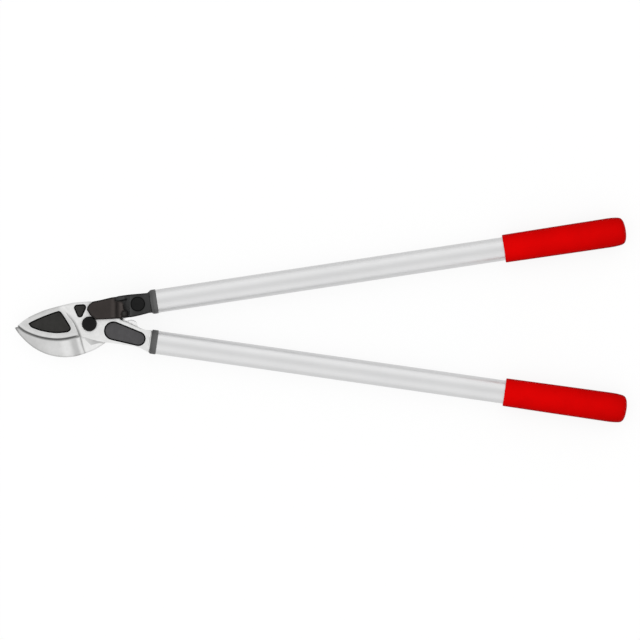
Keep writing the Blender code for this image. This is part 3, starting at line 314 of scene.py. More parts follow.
def nearest(points, path, closed=True):
    """Distance of each point from a path, and its side: +1 to the path's left."""
    a = np.array(path)
    b = np.roll(a, -1, 0) if closed else a[1:]
    a = a if closed else a[:-1]
    span = b - a
    length = np.maximum(1e-16, np.sum(span ** 2, 1))
    away, sides = [], []
    for chunk in np.array_split(points, max(1, len(points) // 1500)):
        rel = chunk[:, None, :] - a[None]
        t = np.clip(np.sum(rel * span[None], 2) / length[None], 0, 1)
        gap = rel - t[:, :, None] * span[None]
        square = np.sum(gap ** 2, 2)
        best = np.argmin(square, 1)
        rows = np.arange(len(chunk))
        cross = span[best, 0] * rel[rows, best, 1] - span[best, 1] * rel[rows, best, 0]
        away.append(np.sqrt(square[rows, best]))
        sides.append(np.where(cross >= 0, 1.0, -1.0))
    return np.concatenate(away), np.concatenate(sides)


def gap_to(points, path, closed=True):
    """Distance of each point from a path."""
    return nearest(points, path, closed)[0]


def reach(points, centre):
    """Distance of each point from a centre."""
    return np.hypot(points[:, 0] - centre[0], points[:, 1] - centre[1])


def inside(points, loop):
    a = np.array(loop)
    b = np.roll(a, -1, 0)
    found = np.zeros(len(points), bool)
    for (x0, y0), (x1, y1) in zip(a, b):
        if y0 == y1:
            continue
        hit = (points[:, 1] < y0) != (points[:, 1] < y1)
        found ^= hit & (points[:, 0] < x0 + (points[:, 1] - y0) * (x1 - x0) / (y1 - y0))
    return found


def depth_in(points, loop):
    """How far inside the loop each point lies, negative outside."""
    return gap_to(points, loop) * np.where(inside(points, loop), 1, -1)


def rounded(depth, radius):
    """How far a rounded edge has dropped at a depth inside the outline."""
    left = np.clip(radius - depth, 0, radius)
    return radius - np.sqrt(np.maximum(0, radius ** 2 - left ** 2))


def ease(t):
    t = np.clip(t, 0, 1)
    return t * t * (3 - 2 * t)


def insets(loop, pitch, depths):
    """The loop, with points at this pitch, moved inwards by each depth."""
    return [inset(spaced(loop, pitch), depth) for depth in depths]


def rings_of(loop, pitch, radius):
    """The loop's insets where a rounded edge of this radius bends."""
    return insets(loop, pitch, [radius * (1 - math.cos(a)) for a in np.radians((22.5, 45, 67.5, 90))])


def mesh_of(name, corners, faces, shade=None):
    """A mesh whose corners may carry painted shade: how much darker than the material each one is."""
    mesh = bpy.data.meshes.new(name)
    mesh.from_pydata(corners, [], faces)
    if shade is not None:
        darker = mesh.attributes.new("shade", "FLOAT", "POINT")
        darker.data.foreach_set("value", shade.astype(np.float32))
    return mesh


def smoothed(mesh):
    mesh.shade_smooth()
    mesh.set_sharp_from_angle(angle=math.radians(38))


ROW_HEIGHT = 0.866  # of even triangles, in their sides
CLEAR_SHARE = 0.55  # of the pitch, that the inner points keep from the lines
ON_AXIS = 1e-9


def slab(
    name, outline, top, bottom, loops=(), paths=(), holes=(), pitch=0.0016, spread=COARSE, shade=None,
):
    """A closed piece between two height fields, whose mesh follows the loops and paths.

    shade gives the painted shade: how much darker than its material the upper side is at each point.
    """
    outline = spaced(outline, spread)
    holes = [spaced(hole, spread) for hole in holes]
    closed_lines = [outline, *holes, *loops]
    corners, edges = [], []
    for k, line in enumerate([*closed_lines, *paths]):
        start = len(corners)
        corners.extend(line)
        edges.extend((i, i + 1) for i in range(start, len(corners) - 1))
        if k < len(closed_lines):
            edges.append((len(corners) - 1, start))
    tree = kdtree.KDTree(len(corners))
    for i, (x, y) in enumerate(corners):
        tree.insert((x, y, 0), i)
    tree.balance()
    low, high = np.min(outline, 0), np.max(outline, 0)
    rows = np.arange(low[1], high[1], pitch * ROW_HEIGHT)
    columns = np.arange(low[0], high[0], pitch)
    grid = np.array([(x + (k % 2) * pitch / 2, y) for k, y in enumerate(rows) for x in columns])

    def in_piece(places):
        kept = inside(places, outline)
        for hole in holes:
            kept &= ~inside(places, hole)
        return kept
    grid = grid[in_piece(grid)]
    corners += [tuple(p) for p in grid if tree.find((*p, 0))[2] > CLEAR_SHARE * pitch]
    made = geometry.delaunay_2d_cdt([Vector(p) for p in corners], edges, [], 0, 1e-7)
    points = np.array([tuple(v) for v in made[0]])
    faces = np.array(made[2])
    faces = faces[in_piece(points[faces].mean(1))]
    at = points[faces]
    first, second = at[:, 1] - at[:, 0], at[:, 2] - at[:, 0]
    flipped = first[:, 0] * second[:, 1] - first[:, 1] * second[:, 0] < 0
    faces[flipped] = faces[flipped][:, ::-1]
    count = len(points)
    upper = np.column_stack([points, top(points)])
    lower = np.column_stack([points, bottom(points)])
    sides = np.concatenate([faces[:, [0, 1]], faces[:, [1, 2]], faces[:, [2, 0]]])
    known = {tuple(side) for side in sides}
    walls = [(i, i + count, j + count, j) for i, j in known if (j, i) not in known]
    mesh = mesh_of(
        name, [*map(tuple, upper), *map(tuple, lower)],
        [*map(tuple, faces.tolist()), *map(tuple, (faces[:, ::-1] + count).tolist()), *walls],
        np.concatenate([shade(points), np.zeros(count)]) if shade else None,
    )
    return finished(name, mesh)


def finished(name, mesh):
    """Drops loose corners, smooths the shading and makes the object."""
    shape = bmesh.new()
    shape.from_mesh(mesh)
    bmesh.ops.delete(shape, geom=[v for v in shape.verts if not v.link_faces], context="VERTS")
    bmesh.ops.dissolve_degenerate(shape, dist=1e-7, edges=shape.edges)
    shape.to_mesh(mesh)
    shape.free()
    smoothed(mesh)
    made = bpy.data.objects.new(name, mesh)
    bpy.context.scene.collection.objects.link(made)
    return made


def lathe(name, profile, matrix, steps=96, shade=None):
    """A piece turned round its own X axis from (place, radius) points that go round the section.

    shade gives the painted shade: how much darker than its material each corner is, before the matrix
    moves it.
    """
    angles = np.linspace(0, 2 * math.pi, steps, endpoint=False)
    corners, rings = [], []
    for along, radius in profile:
        if radius <= ON_AXIS:
            rings.append([len(corners)])
            corners.append((along, 0, 0))
            continue
        rings.append(list(range(len(corners), len(corners) + steps)))
        corners += [(along, radius * math.cos(a), radius * math.sin(a)) for a in angles]
    faces = []
    closed = profile[0][1] > ON_AXIS
    for first, second in zip(rings, rings[1:] + rings[:1] * closed):
        for i in range(steps):
            ends = ((first, i), (first, i + 1), (second, i + 1), (second, i))
            faces.append(tuple(dict.fromkeys(ring[k % len(ring)] for ring, k in ends)))
    mesh = mesh_of(name, corners, faces, shade(np.array(corners)) if shade else None)
    shape = bmesh.new()
    shape.from_mesh(mesh)
    bmesh.ops.recalc_face_normals(shape, faces=shape.faces)
    if shape.calc_volume(signed=True) < 0:
        bmesh.ops.reverse_faces(shape, faces=shape.faces)
    shape.to_mesh(mesh)
    shape.free()
    mesh.transform(matrix)
    return finished(name, mesh)


def handle_frame(side):
    """The frame of a handle: X along its axis from the collar's front. side is +1 for the upper one."""
    start = Vector((HANDLE_START_X, MIDLINE_Y + side * HANDLE_OFFSET, AXIS_HEIGHT))
    return Matrix.Translation(start) @ Matrix.Rotation(side * HANDLE_ANGLE, 4, "Z")


def upright(place, height=0.0):
    """The frame of a turned piece on a vertical axis, its X up."""
    return Matrix.Translation((*place, height)) @ Matrix.Rotation(-math.pi / 2, 4, "Y")


def along_handle(points, side):
    """Each point's place along a handle's axis and across it."""
    start = np.array((HANDLE_START_X, MIDLINE_Y + side * HANDLE_OFFSET))
    ahead = np.array((math.cos(HANDLE_ANGLE), side * math.sin(HANDLE_ANGLE)))
    rel = points - start
    return rel @ ahead, rel @ np.array((-ahead[1], ahead[0]))


def on_handle(side, along, across):
    point = handle_frame(side) @ Vector((along, across, 0))
    return (point.x, point.y)


def put(piece, body, slot, material, *replaced):
    """Gives a piece its material, has it ride on its body, and hides the parts it replaces."""
    piece.data.materials.clear()
    piece.data.materials.append(material)
    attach(piece, body)
    if replaced:
        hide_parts(*replaced)


# Materials

def shader_tree(name):
    made = bpy.data.materials.new(name)
    made.use_nodes = True
    tree = made.node_tree
    return made, tree, tree.nodes["Principled BSDF"]


def add(tree, kind, links=(), **values):
    """A node with its settings, and its inputs linked as (input, output socket)."""
    node = tree.nodes.new(kind)
    for key, value in values.items():
        setattr(node, key, value)
    for name, source in links:
        if isinstance(source, bpy.types.NodeSocket):
            tree.links.new(source, node.inputs[name])
        else:
            node.inputs[name].default_value = source
    return node


def maths(tree, operation, *values):
    return add(tree, "ShaderNodeMath", enumerate(values), operation=operation).outputs[0]


def grain(tree, scale, detail, rough, stretch=(1, 1, 1), turn=0.0):
    """Noise in the piece's own coordinates, stretched and turned about Z."""
    where = add(tree, "ShaderNodeTexCoord").outputs["Object"]
    placed = add(
        tree, "ShaderNodeMapping", [("Vector", where), ("Scale", stretch), ("Rotation", (0, 0, turn))],
    )
    links = [("Vector", placed.outputs[0]), ("Scale", scale), ("Detail", detail), ("Roughness", rough)]
    return add(tree, "ShaderNodeTexNoise", links).outputs["Fac"]


def spread_out(tree, value, low, high, start=0.3, end=0.7):
    """Maps the middle of a noise to a range."""
    links = [("Value", value), ("From Min", start), ("From Max", end), ("To Min", low), ("To Max", high)]
    return add(tree, "ShaderNodeMapRange", links).outputs[0]


def tinted(tree, value, dark, light):
    """A colour between two, by a value from 0 to 1."""
    mixed = add(tree, "ShaderNodeMix", [("Factor", value)], data_type="RGBA")
    mixed.inputs["A"].default_value = (*dark, 1)
    mixed.inputs["B"].default_value = (*light, 1)
    return mixed.outputs["Result"]


def bumped(tree, shader, value, strength, distance):
    links = [("Height", value), ("Strength", strength), ("Distance", distance)]
    tree.links.new(add(tree, "ShaderNodeBump", links).outputs[0], shader.inputs["Normal"])


def metal(
    name, dark, light, roughness, patch=60, fine=2600, stretch=(1, 1, 1), turn=0.0, bump=0.1,
    metallic=1.0, shine=0.5, shaded=False,
):
    """A metal whose colour drifts in broad patches and whose gloss varies with a fine grain."""
    made, tree, shader = shader_tree(name)
    broad = grain(tree, patch, 5, 0.72)
    small = grain(tree, fine, 2, 0.5, stretch, turn)
    colour = tinted(tree, spread_out(tree, broad, 0, 1), dark, light)
    # Shaded copies darken or lighten their colour by the painted shade in each mesh's shade attribute.
    if shaded:
        darker = add(tree, "ShaderNodeAttribute", attribute_name="shade").outputs["Fac"]
        links = [("Vector", colour), ("Scale", maths(tree, "SUBTRACT", 1.0, darker))]
        colour = add(tree, "ShaderNodeVectorMath", links, operation="SCALE").outputs[0]
    tree.links.new(colour, shader.inputs["Base Color"])
    tree.links.new(spread_out(tree, small, *roughness), shader.inputs["Roughness"])
    shader.inputs["Metallic"].default_value = metallic
    shader.inputs["Specular IOR Level"].default_value = shine
    bumped(tree, shader, small, bump, 0.0001)
    return made


def plastic(name, dark, light, roughness, patch=80, fine=1800, bump=0.12, shine=0.12, shaded=False):
    """A moulded plastic or rubber with a fine skin grain."""
    return metal(
        name, dark, light, roughness, patch, fine, bump=bump, metallic=0.0, shine=shine, shaded=shaded,
    )


def grey(level):
    return (level, level, level)


FORGED = dict(dark=(0.73, 0.73, 0.725), light=(0.85, 0.85, 0.845), roughness=(0.36, 0.46), patch=90,
              fine=2400, bump=0.12)
GROUND = dict(dark=(0.82, 0.82, 0.815), light=(0.93, 0.93, 0.925), roughness=(0.28, 0.36), patch=90,
              fine=420, stretch=(3.0, 0.05, 1), turn=0.12, bump=0.05)
COATED = dict(roughness=(0.4, 0.52), patch=90, fine=1500, bump=0.2, metallic=0.2, shine=0.12)
MOULDED = (grey(0.08), grey(0.105), (0.42, 0.55))
DIPPED = ((0.6, 0.0, 0.0), (0.68, 0.0, 0.0), (0.5, 0.6), 25, 1400, 0.1, 0.02)
PAD = ((0.42, 0.55), 120, 1600, 0.2)
# The copies made with shaded=True carry the painted light and shade of their meshes.
forged = metal("forged_satin", **FORGED)
forged_shaded = metal("forged_painted_shade", **FORGED, shaded=True)
ground = metal("ground_steel", **GROUND)
ground_shaded = metal("ground_painted_shade", **GROUND, shaded=True)
black_steel = metal("black_steel", (0.026, 0.025, 0.024), (0.034, 0.033, 0.032), **COATED)
head_painted_shade = metal("head_painted_shade", grey(0.026), grey(0.034), **COATED, shaded=True)
lever_painted_shade = metal("lever_painted_shade", (0.031, 0.026, 0.024), (0.039, 0.033, 0.031), **COATED, shaded=True)
zinc = metal("zinc_plate", (0.5, 0.5, 0.49), (0.66, 0.66, 0.64), (0.26, 0.38), 120, 2200)
bronze = metal("bronze", (0.4, 0.24, 0.1), (0.5, 0.32, 0.14), (0.32, 0.45))
aluminium = metal(
    "satin_aluminium", (0.675, 0.675, 0.678), (0.705, 0.705, 0.708), (0.34, 0.42), 14, 120, (0.08, 7, 7),
    bump=0.05,
)
black_plastic = plastic("black_plastic", grey(0.004), grey(0.008), (0.3, 0.42))
grey_plastic = plastic("grey_plastic", *MOULDED)
collar_painted_shade = plastic("collar_painted_shade", *MOULDED, shaded=True)
rubber = plastic("black_rubber", grey(0.012), grey(0.026), (0.65, 0.85), shine=0.5)
red = plastic("red_grip", *DIPPED)
red_painted_shade = plastic("red_painted_shade", *DIPPED, shaded=True)
# near black: the pocket's dark coat, made darker to paint the shade in the groove round its pad
rim_black = plastic("pocket_rim", grey(0.0015), grey(0.003), (0.55, 0.7), shine=0.05)
pad_dark = plastic("pocket_pad", (0.022, 0.0215, 0.02), (0.033, 0.032, 0.03), *PAD)
pad_grey = plastic("arm_pad", (0.064, 0.062, 0.065), (0.082, 0.08, 0.083), *PAD)
slots = {
    "forged_steel": forged, "ground_steel": ground, "black_steel": black_steel, "zinc": zinc,
    "bronze": bronze, "black_plastic": black_plastic, "grey_plastic": grey_plastic, "rubber": rubber,
    "aluminium": aluminium, "red_grip": red,
}
for row in frame["record"]["subparts"]:
    node = nodes[row["node"]]
    node.data.materials.clear()
    node.data.materials.append(slots[row["material_slot"]])


# Blade arm

edge_path = smooth(BLADE_EDGE)
step_path = smooth(STEP_LINE)
leaf_loop = smooth([*LEAF[-2:], *LEAF, *LEAF[:2]], 8)[16:-17]
triangle_loop = capsule(TRIANGLE_CORNERS, 12)
slot_loop = capsule(ARM_SLOT_ENDS, 24)
pockets = ((leaf_loop, LEAF_DEPTH), (triangle_loop, POCKET_DEPTH), (slot_loop, POCKET_DEPTH))
arm_ends = [on_handle(-1, -2 * GAP, across) for across in (ARM_HALF, -ARM_HALF)]
arm_loop = joined(
    smooth(BLADE_SPINE),
    smooth([BLADE_SPINE[-1], *BOSS_RIGHT[::-1]], 8),
    smooth(BUMPER_SEAT[::-1], 8),
    smooth([arm_ends[0], *ARM_TOP], 8)[::-1],
    smooth([arm_ends[1], *ARM_BOTTOM[::-1]], 8),
    smooth(ARM_BELLY[::-1], 8),
    edge_path[::-1],
)


def step_share(points, low, high):
    """Height across the step line: the low face left of it, a cove, and the high face right of it."""
    away, side = nearest(points, step_path, False)
    inward = np.clip(COVE - away, 0, COVE)
    rise = min(COVE, high - low)
    cove = low + rise * (1 - np.sqrt(np.maximum(0, 1 - (inward / COVE) ** 2)))
    sharp = np.where(side < 0, cove, high)
    ramp = low + (high - low) * ease(0.5 + side * away / RAMP * 0.5)
    faded = ease((points[:, 1] - RAMP_FROM) / RAMP_OVER)
    return sharp * (1 - faded) + ramp * faded


def past_step(points):
    """How far each point lies past the step: 0 on the blade's side, 1 on the boss's."""
    away, side = nearest(points, step_path, False)
    return ease((away * side + STEP_LEAD) / STEP_BLEND)


def neck_half(points):
    """Half the thickness of the neck's flare under each point, where it has any."""
    along, across = along_handle(points, -1)
    t = np.clip(1 + (along + GAP) / NECK_LENGTH, 0, 1)
    radius = NECK_ROOT + (NECK_END - NECK_ROOT) * (1 - np.sqrt(np.maximum(0, 1 - t * t)))
    return np.where(t > 0, radius * np.sqrt(np.maximum(0, 1 - (across / ARM_HALF) ** 2)), 0)


def flared(points, height, side):
    """The height run into the neck's flare, above the handle's axis for side 1 and below it for -1."""
    half = neck_half(points)
    swell = AXIS_HEIGHT + side * half
    mix = np.clip(0.5 + 0.5 * side * (swell - height) / NECK_BLEND, 0, 1)
    run_in = height * (1 - mix) + swell * mix + side * NECK_BLEND * mix * (1 - mix)
    return np.where(half > 0, run_in, height)


def arm_edge_drop(points):
    """The rounded edge of the forging, which the ground edge hasn't got."""
    blend = ease((gap_to(points, edge_path, False) - EDGE_CLEAR) / EDGE_FADE) + past_step(points)
    return rounded(gap_to(points, arm_loop), EDGE_ROUND) * np.minimum(1, blend)


def arm_plain(points):
    """The arm's upper side without its pockets."""
    away = gap_to(points, edge_path, False)
    bevel = BLADE_LOW + KEEN + away
    t = np.clip((away - EDGE_BEVEL) / (FACE_GRIND - EDGE_BEVEL), 0, 1)
    start = BLADE_LOW + KEEN + EDGE_BEVEL
    hollow = start + (BLADE_FACE - start) * (1 - (1 - t) ** HOLLOW_POWER)
    ground_in = np.where(away < EDGE_BEVEL, bevel, hollow)
    free = ease((away - FACE_GRIND) / GRIND_FADE) + past_step(points)
    height = np.minimum(step_share(points, BLADE_FACE, BOSS_FACE), ground_in + free * FREE_RISE)
    return flared(points, height - arm_edge_drop(points), 1)


def pocket_drop(points, loop, depth):
    """How deep a pocket is under each point: a steep wall, then a small fillet to its floor."""
    into = depth_in(points, loop)
    wall = np.clip(into / POCKET_WALL, 0, 1) * (depth - POCKET_FILLET)
    bent = POCKET_FILLET - rounded(np.clip(into - POCKET_WALL, 0, POCKET_FILLET), POCKET_FILLET)
    return np.where(into <= 0, 0, wall + np.where(into > POCKET_WALL, bent, 0))


def arm_top(points):
    return arm_plain(points) - np.maximum.reduce([pocket_drop(points, *pocket) for pocket in pockets])


def arm_bottom(points):
    under_arm = points[:, 0] > 0.02
    return flared(points, BLADE_LOW + rounded(gap_to(points, arm_loop), UNDER_ROUND) * under_arm, -1)


def offset_path(path, away):
    """An open path moved to its right."""
    steps = np.gradient(np.array(path), axis=0)
    steps /= np.linalg.norm(steps, axis=1)[:, None]
    return [tuple(v) for v in np.array(path) + away * np.stack([steps[:, 1], -steps[:, 0]], 1)]


def within(path, loop):
    """The stretch of a path that lies well inside a loop."""
    deep = depth_in(np.array(path), loop) > 0.0002
    return [p for p, kept in zip(path, deep) if kept]


def beside(path, loop, places):
    """What lies inside a loop of copies of a path, each moved to its right."""
    return [within(offset_path(path, away), loop) for away in places]


def band(value, *stops):
    """A value mapped through (place, level) stops."""
    places, levels = zip(*stops)
    return np.interp(value, places, levels)


def arm_shade(points):
    """The blade's side of the step is darker, and painted shade lies in dark lines along the step, the
    cutting edge and the upper rim.
    """
    x, y = points.T
    away, side = nearest(points, step_path, False)
    off = away * side
    fade = band(y, (-0.02, 1.0), (-0.008, 0.95), (0.004, 0.6), (0.014, 0.35), (0.02, 0.0))
    # painted shade in the cove of the step
    line = band(off, (-0.0035, 0), (-0.0012, 0.35), (-0.0002, 0.72), (0.0006, 0.6), (0.003, 0.0)) * fade
    soft = band(y, (0.004, 0.0002), (0.02, 0.01))
    # darker on the blade's side of the step
    darker_blade_and_rim = 0.19 * ease(0.5 - off / soft * 0.5)
    upper = y > x * -0.1
    # painted shade along the rounded upper rim
    darker_blade_and_rim += band(gap_to(points, arm_loop), (0.0, 0.25), (0.0012, 0.12), (0.0026, 0.0)) * upper
    edge_gap = gap_to(points, edge_path, False)
    # painted shadow along the cutting edge
    edge = band(edge_gap, (0.0, 0.9), (0.0013, 0.9), (0.0026, 0.05), (0.003, 0.0))
    edge *= band(x, (-0.099, 0.9), (-0.06, 1.0), (-0.02, 0.95), (-0.0155, 0.55), (-0.0135, 0.0))
    return np.maximum.reduce([line, edge, darker_blade_and_rim])


pocket_loops = [ring for loop, _ in pockets for ring in insets(loop, FINE, (0.0, *POCKET_RINGS))]
step_lines = beside(step_path, arm_loop, COVE * np.array(
    (-1.56, -1.2, -0.9, -0.45, -0.18, 0, 0.06, 0.2, 0.375, 0.6, 0.8, 1, 1.25, 1.56)
))
edge_lines = beside(edge_path, arm_loop, -np.array(
    (0.0007, 0.0013, 0.0019, 0.0025, 0.0034, 0.0046, 0.0068, 0.0076)
))


def on_neck(t, across):
    return on_handle(-1, -NECK_LENGTH * (1 - t), across)


neck_width = np.linspace(0.001 - ARM_HALF, ARM_HALF - 0.001, 24)
neck_lines = [
    *[[on_neck(t, across) for across in neck_width] for t in (0.0, 0.3, 0.5, 0.65, 0.78, 0.88, 0.95)],
    *[within([on_neck(t, share * ARM_HALF) for t in np.linspace(0.0, 0.97, 14)], arm_loop)
      for share in (-0.96, -0.88, -0.7, -0.4, 0.0, 0.4, 0.7, 0.88, 0.96)],
]
arm = slab(
    "blade_forging", arm_loop, arm_top, arm_bottom,
    [*rings_of(arm_loop, COARSE, EDGE_ROUND), *pocket_loops],
    [*step_lines, *edge_lines, *neck_lines], [circle(PIVOT, 0.0083, 48), circle(STUD, 0.0066, 40)],
    0.0017, shade=arm_shade,
)
put(arm, "blade_arm", "forged_steel", forged_shaded, "cutting_blade_arm")


def pocket_pieces(name, loop, pad_material):
    """The dark coat of a pocket, kept near black as painted shade in the groove round the pad, and the
    pad in it.
    """
    coat = slab(
        name + "_coat", inset(loop, COAT), lambda p: arm_top(p) + COAT, lambda p: arm_top(p) - COAT_SINK,
        insets(loop, FINE, POCKET_RINGS), pitch=0.003,
    )
    put(coat, "blade_arm", "black_steel", rim_black)
    pad_loop = inset(spaced(loop, FINE), RIM)

    def pad_top(points):
        return arm_top(points) + PAD_RISE - rounded(gap_to(points, pad_loop), PAD_ROUND)
    pad = slab(
        name + "_pad", pad_loop, pad_top, lambda p: arm_top(p) - PAD_SINK,
        [inset(pad_loop, PAD_ROUND * (1 - math.cos(a))) for a in np.radians((30, 60, 90))], pitch=0.0022,
    )
    put(pad, "blade_arm", "black_steel", pad_material)


bumper = slab(
    "bumper_pad", joined(smooth(BUMPER, 4), arc(KNUCKLE, 0.0065, 250, 220, 6)),
    lambda p: 0 * p[:, 0] + BOSS_FACE - GAP, lambda p: 0 * p[:, 0] + BLADE_LOW + GAP, pitch=0.002,
)
put(bumper, "blade_arm", "rubber", rubber, "stop_bumper")
pocket_pieces("leaf", leaf_loop, pad_dark)
pocket_pieces("triangle", triangle_loop, pad_dark)
pocket_pieces("arm_slot", slot_loop, pad_grey)

# Hook

hook_loop = joined(
    smooth(HOOK_BELLY, 6),
    smooth(HOOK_UNDER_ARM, 8),
    TAIL_LOWER,
    arc(FORK, TAIL_RADIUS, -62, 113, 40),
    smooth(TAIL_UPPER, 4),
    arc(PIVOT, HOOK_BOSS_RADIUS, 78, 196, 40),
    smooth(HOOK_INNER, 8),
)
land_path = [(x, y + 0.0012) for x, y in edge_path if x < -0.015]


def facet_share(points):
    """How far each point lies down the hook's ground facet, from 0 outside it to 1."""
    return np.clip(depth_in(points, HOOK_FACET) / FACET_RUN, 0, 1)


def hook_top(points):
    _, side = nearest(points, step_path, False)
    land_away, land_side = nearest(points, land_path, False)
    ground_off = (land_side < 0) & (side < 0)
    low = step_share(points, HOOK_FACE - HOOK_RELIEF, HOOK_FACE)
    wall = np.clip(land_away / 0.0006, 0, 1)
    height = np.where(ground_off, HOOK_FACE + (low - HOOK_FACE) * wall, HOOK_FACE)
    soft = np.where((land_side < 0) | (points[:, 0] > -0.01), 1.0, 0.25)
    facet = facet_share(points) * band(points[:, 0], (-0.007, 0.0), (0.02, 0.0007))
    return height - facet - rounded(gap_to(points, hook_loop), FACE_ROUND) * soft


def hook_shade(points):
    """Painted shade: a dark line in the step's corner, a broad band of painted reflection beside it,
    painted shadows by the blade's edge and the arm, a darker rim and tip, and painted light on the lobe.
    """
    x, y = points.T
    away, side = nearest(points, step_path, False)
    off = -away * side
    fade = band(y, (-0.04, 0.6), (-0.032, 0.85), (-0.022, 1.0))
    # painted shade in the step's corner
    line = band(off, (-0.0016, 0.0), (-0.0004, 0.45), (0.0004, 0.62), (0.0012, 0.45), (0.0026, 0.1))
    line = np.where(off < 0.0026, line * fade, 0.0)
    # painted reflection bands beside the step
    broad = band(
        off, (-0.003, 0.0), (0.0, 0.08), (0.0045, 0.08), (0.0075, 0.36), (0.0125, 0.36), (0.018, 0.1),
        (0.025, 0.09), (0.031, 0.2), (0.046, 0.22), (0.06, 0.32),
    )
    edge_gap = gap_to(points, edge_path, False)
    # painted shadow below the blade's cutting edge
    below = band(edge_gap, (0.0, 0.8), (0.0008, 0.75), (0.0022, 0.3), (0.0034, 0.0))
    # painted shade on the ground facet
    facet = facet_share(points) * band(x, (-0.007, 0.2), (0.006, 0.38))
    # painted shadow beside the arm
    near_arm = band(gap_to(points, arm_loop), (0.0, 0.28), (0.0012, 0.2), (0.0026, 0.0))
    near_arm *= ~inside(points, arm_loop)
    # painted shade along the rim, and darker towards the tip
    outer = band(gap_to(points, hook_loop), (0.0, 0.26), (0.0011, 0.14), (0.0024, 0.0))
    outer += band(x, (-0.1027, 0.35), (-0.0965, 0.0))
    # painted light on the lobe
    lobe = x > LOBE_X
    total = np.maximum.reduce([
        line, broad - 0.22 * lobe, below * (x < -0.014), facet, near_arm * np.where(lobe, 0.5, 1.0),
    ]) + outer * np.where(lobe, 0.4, 1.0)
    return np.minimum(total - 0.2 * lobe, 0.72)


def hook_bottom(points):
    return HOOK_BACK + rounded(gap_to(points, hook_loop), EDGE_ROUND)


hook = slab(
    "hook_forging", hook_loop, hook_top, hook_bottom,
    [
        *rings_of(hook_loop, COARSE, EDGE_ROUND), *insets(hook_loop, COARSE, [0.0024]),
        *insets(HOOK_FACET, 0.0011, (0.0, FACET_RUN)),
    ],
    [
        *beside(step_path, hook_loop, COVE * np.array(
            (-0.94, -0.5, -0.2, 0, 0.06, 0.2, 0.375, 0.6, 0.94, 1.3)
        )),
        *beside(land_path, hook_loop, (0.0, 0.0003, 0.0006)),
        *beside(edge_path, hook_loop, (0.0008, 0.0015, 0.0022, 0.0032)),
    ],
    [circle(PIVOT, 0.0063, 40), circle(FORK, 0.0073, 40), circle(LOCK_SCREW, 0.0024, 20)],
    0.0017, shade=hook_shade,
)
put(hook, "hook", "ground_steel", ground_shaded, "hook_arm")

# Lever

link_loop = joined(
    smooth([arc(STUD, away, turn, turn, 0)[0] for turn, away in LINK_END], 6),
    smooth(LINK_TOP, 6),
    smooth(LINK_TONGUE, 8),
    arc(KNUCKLE, 0.005, 62, -88, 24),
    LINK_BOTTOM,
)


def lines_across(places, heights):
    """Straight paths along Y, at each place along X."""
    return [[(x, y) for y in heights] for x in places]


def link_top(points):
    run = (LINK_STEP - points[:, 0]) / LINK_SLOPE
    t = ease(run) * 0.35 + np.clip(run, 0, 1) * 0.65
    return TONGUE_FACE + (LINK_FACE - TONGUE_FACE) * t - rounded(gap_to(points, link_loop), LEVER_ROUND)


def link_bottom(points):
    return LINK_LOW + rounded(gap_to(points, link_loop), UNDER_ROUND)


def rim_dark(points, loop, light, share):
    """Painted shade on the rounded edge, with only a share of its darkness in the light part."""
    dark = band(gap_to(points, loop), (0.0, 0.75), (0.0009, 0.75), (0.0017, 0.0))
    return np.where(dark > 0, dark * np.where(light, share, 1.0), NO_SHADE)


def knuckle_dark(points):
    """The ring of painted shade round the knuckle pin."""
    return band(
        reach(points, DARK_CENTRE),
        (0.0016, NO_SHADE), (0.0018, 0.2), (0.0027, 0.6), (0.0048, 0.65), (0.0056, 0.3),
        (0.0064, NO_SHADE),
    )


def link_shade(points):
    # Painted light and shade bands, painted shade round the knuckle and along the rim.
    x, y = points.T
    rim = rim_dark(points, link_loop, (x > 0.032) & (y > 0.026), 0.3)
    return np.maximum.reduce([band(x, *LEVER_BANDS), knuckle_dark(points), rim])


link = slab(
    "lever_forging", link_loop, link_top, link_bottom, rings_of(link_loop, FINE, LEVER_ROUND),
    lines_across((0.0352, 0.0361, 0.037, 0.0379, 0.0388), np.linspace(0.008, 0.0298, 18)),
    [circle(KNUCKLE, 0.0023, 24)], 0.0014, FINE, link_shade,
)
put(link, "link", "black_steel", lever_painted_shade, "lever_link")

# Fork head

handle_top, handle_low = (on_handle(1, -GAP, across) for across in (HEAD_HALF, -HEAD_HALF))
head_loop = joined(
    [handle_top],
    smooth(HEAD_TOP, 6),
    smooth(HEAD_PLATE_FRONT, 8),
    arc(KNUCKLE, 0.0062, 165, 272, 24),
    [PLATE_END],
    smooth(HEAD_BOTTOM[1:], 6),
    [handle_low],
)
slot_arc = arc(FORK, SLOT_RADIUS, -60, 80, 40)


def shoulder_half(points):
    """Half the thickness that the round shoulder leaves to the head."""
    along, across = along_handle(points, 1)
    radius = np.interp(along, *zip(*HEAD_SHOULDER), left=1.0)
    return np.sqrt(np.maximum(0.0, radius ** 2 - across ** 2))


def head_top(points):
    behind = points[:, 0] - HEAD_WALL_X
    rise = np.clip(behind / 0.0004, 0, 1)
    soft = rounded(np.clip(behind, 0, LEVER_ROUND), LEVER_ROUND) * rise
    high = np.minimum(LINK_FACE - soft, AXIS_HEIGHT + shoulder_half(points))
    height = BOSS_FACE + (high - BOSS_FACE) * rise - rounded(gap_to(points, head_loop), LEVER_ROUND)
    cap_off = reach(points, FORK) - 0.0098
    seat = LINK_FACE - 0.0017 + np.clip(cap_off + 0.0004, 0, 1) * 4
    return np.where((cap_off < 0) & (rise > 0.9), np.minimum(height, seat), height)


def head_bottom(points):
    """The plate's and the web's undersides, where the fork's slot is open and behind it."""
    web = np.maximum(CHEEK_FACE - 0.0002, AXIS_HEIGHT - shoulder_half(points) + 0.0002)
    in_slot = (points[:, 0] < slot_arc[0][0]) | (reach(points, FORK) < SLOT_RADIUS)
    return np.where(in_slot, BLADE_LOW, web)


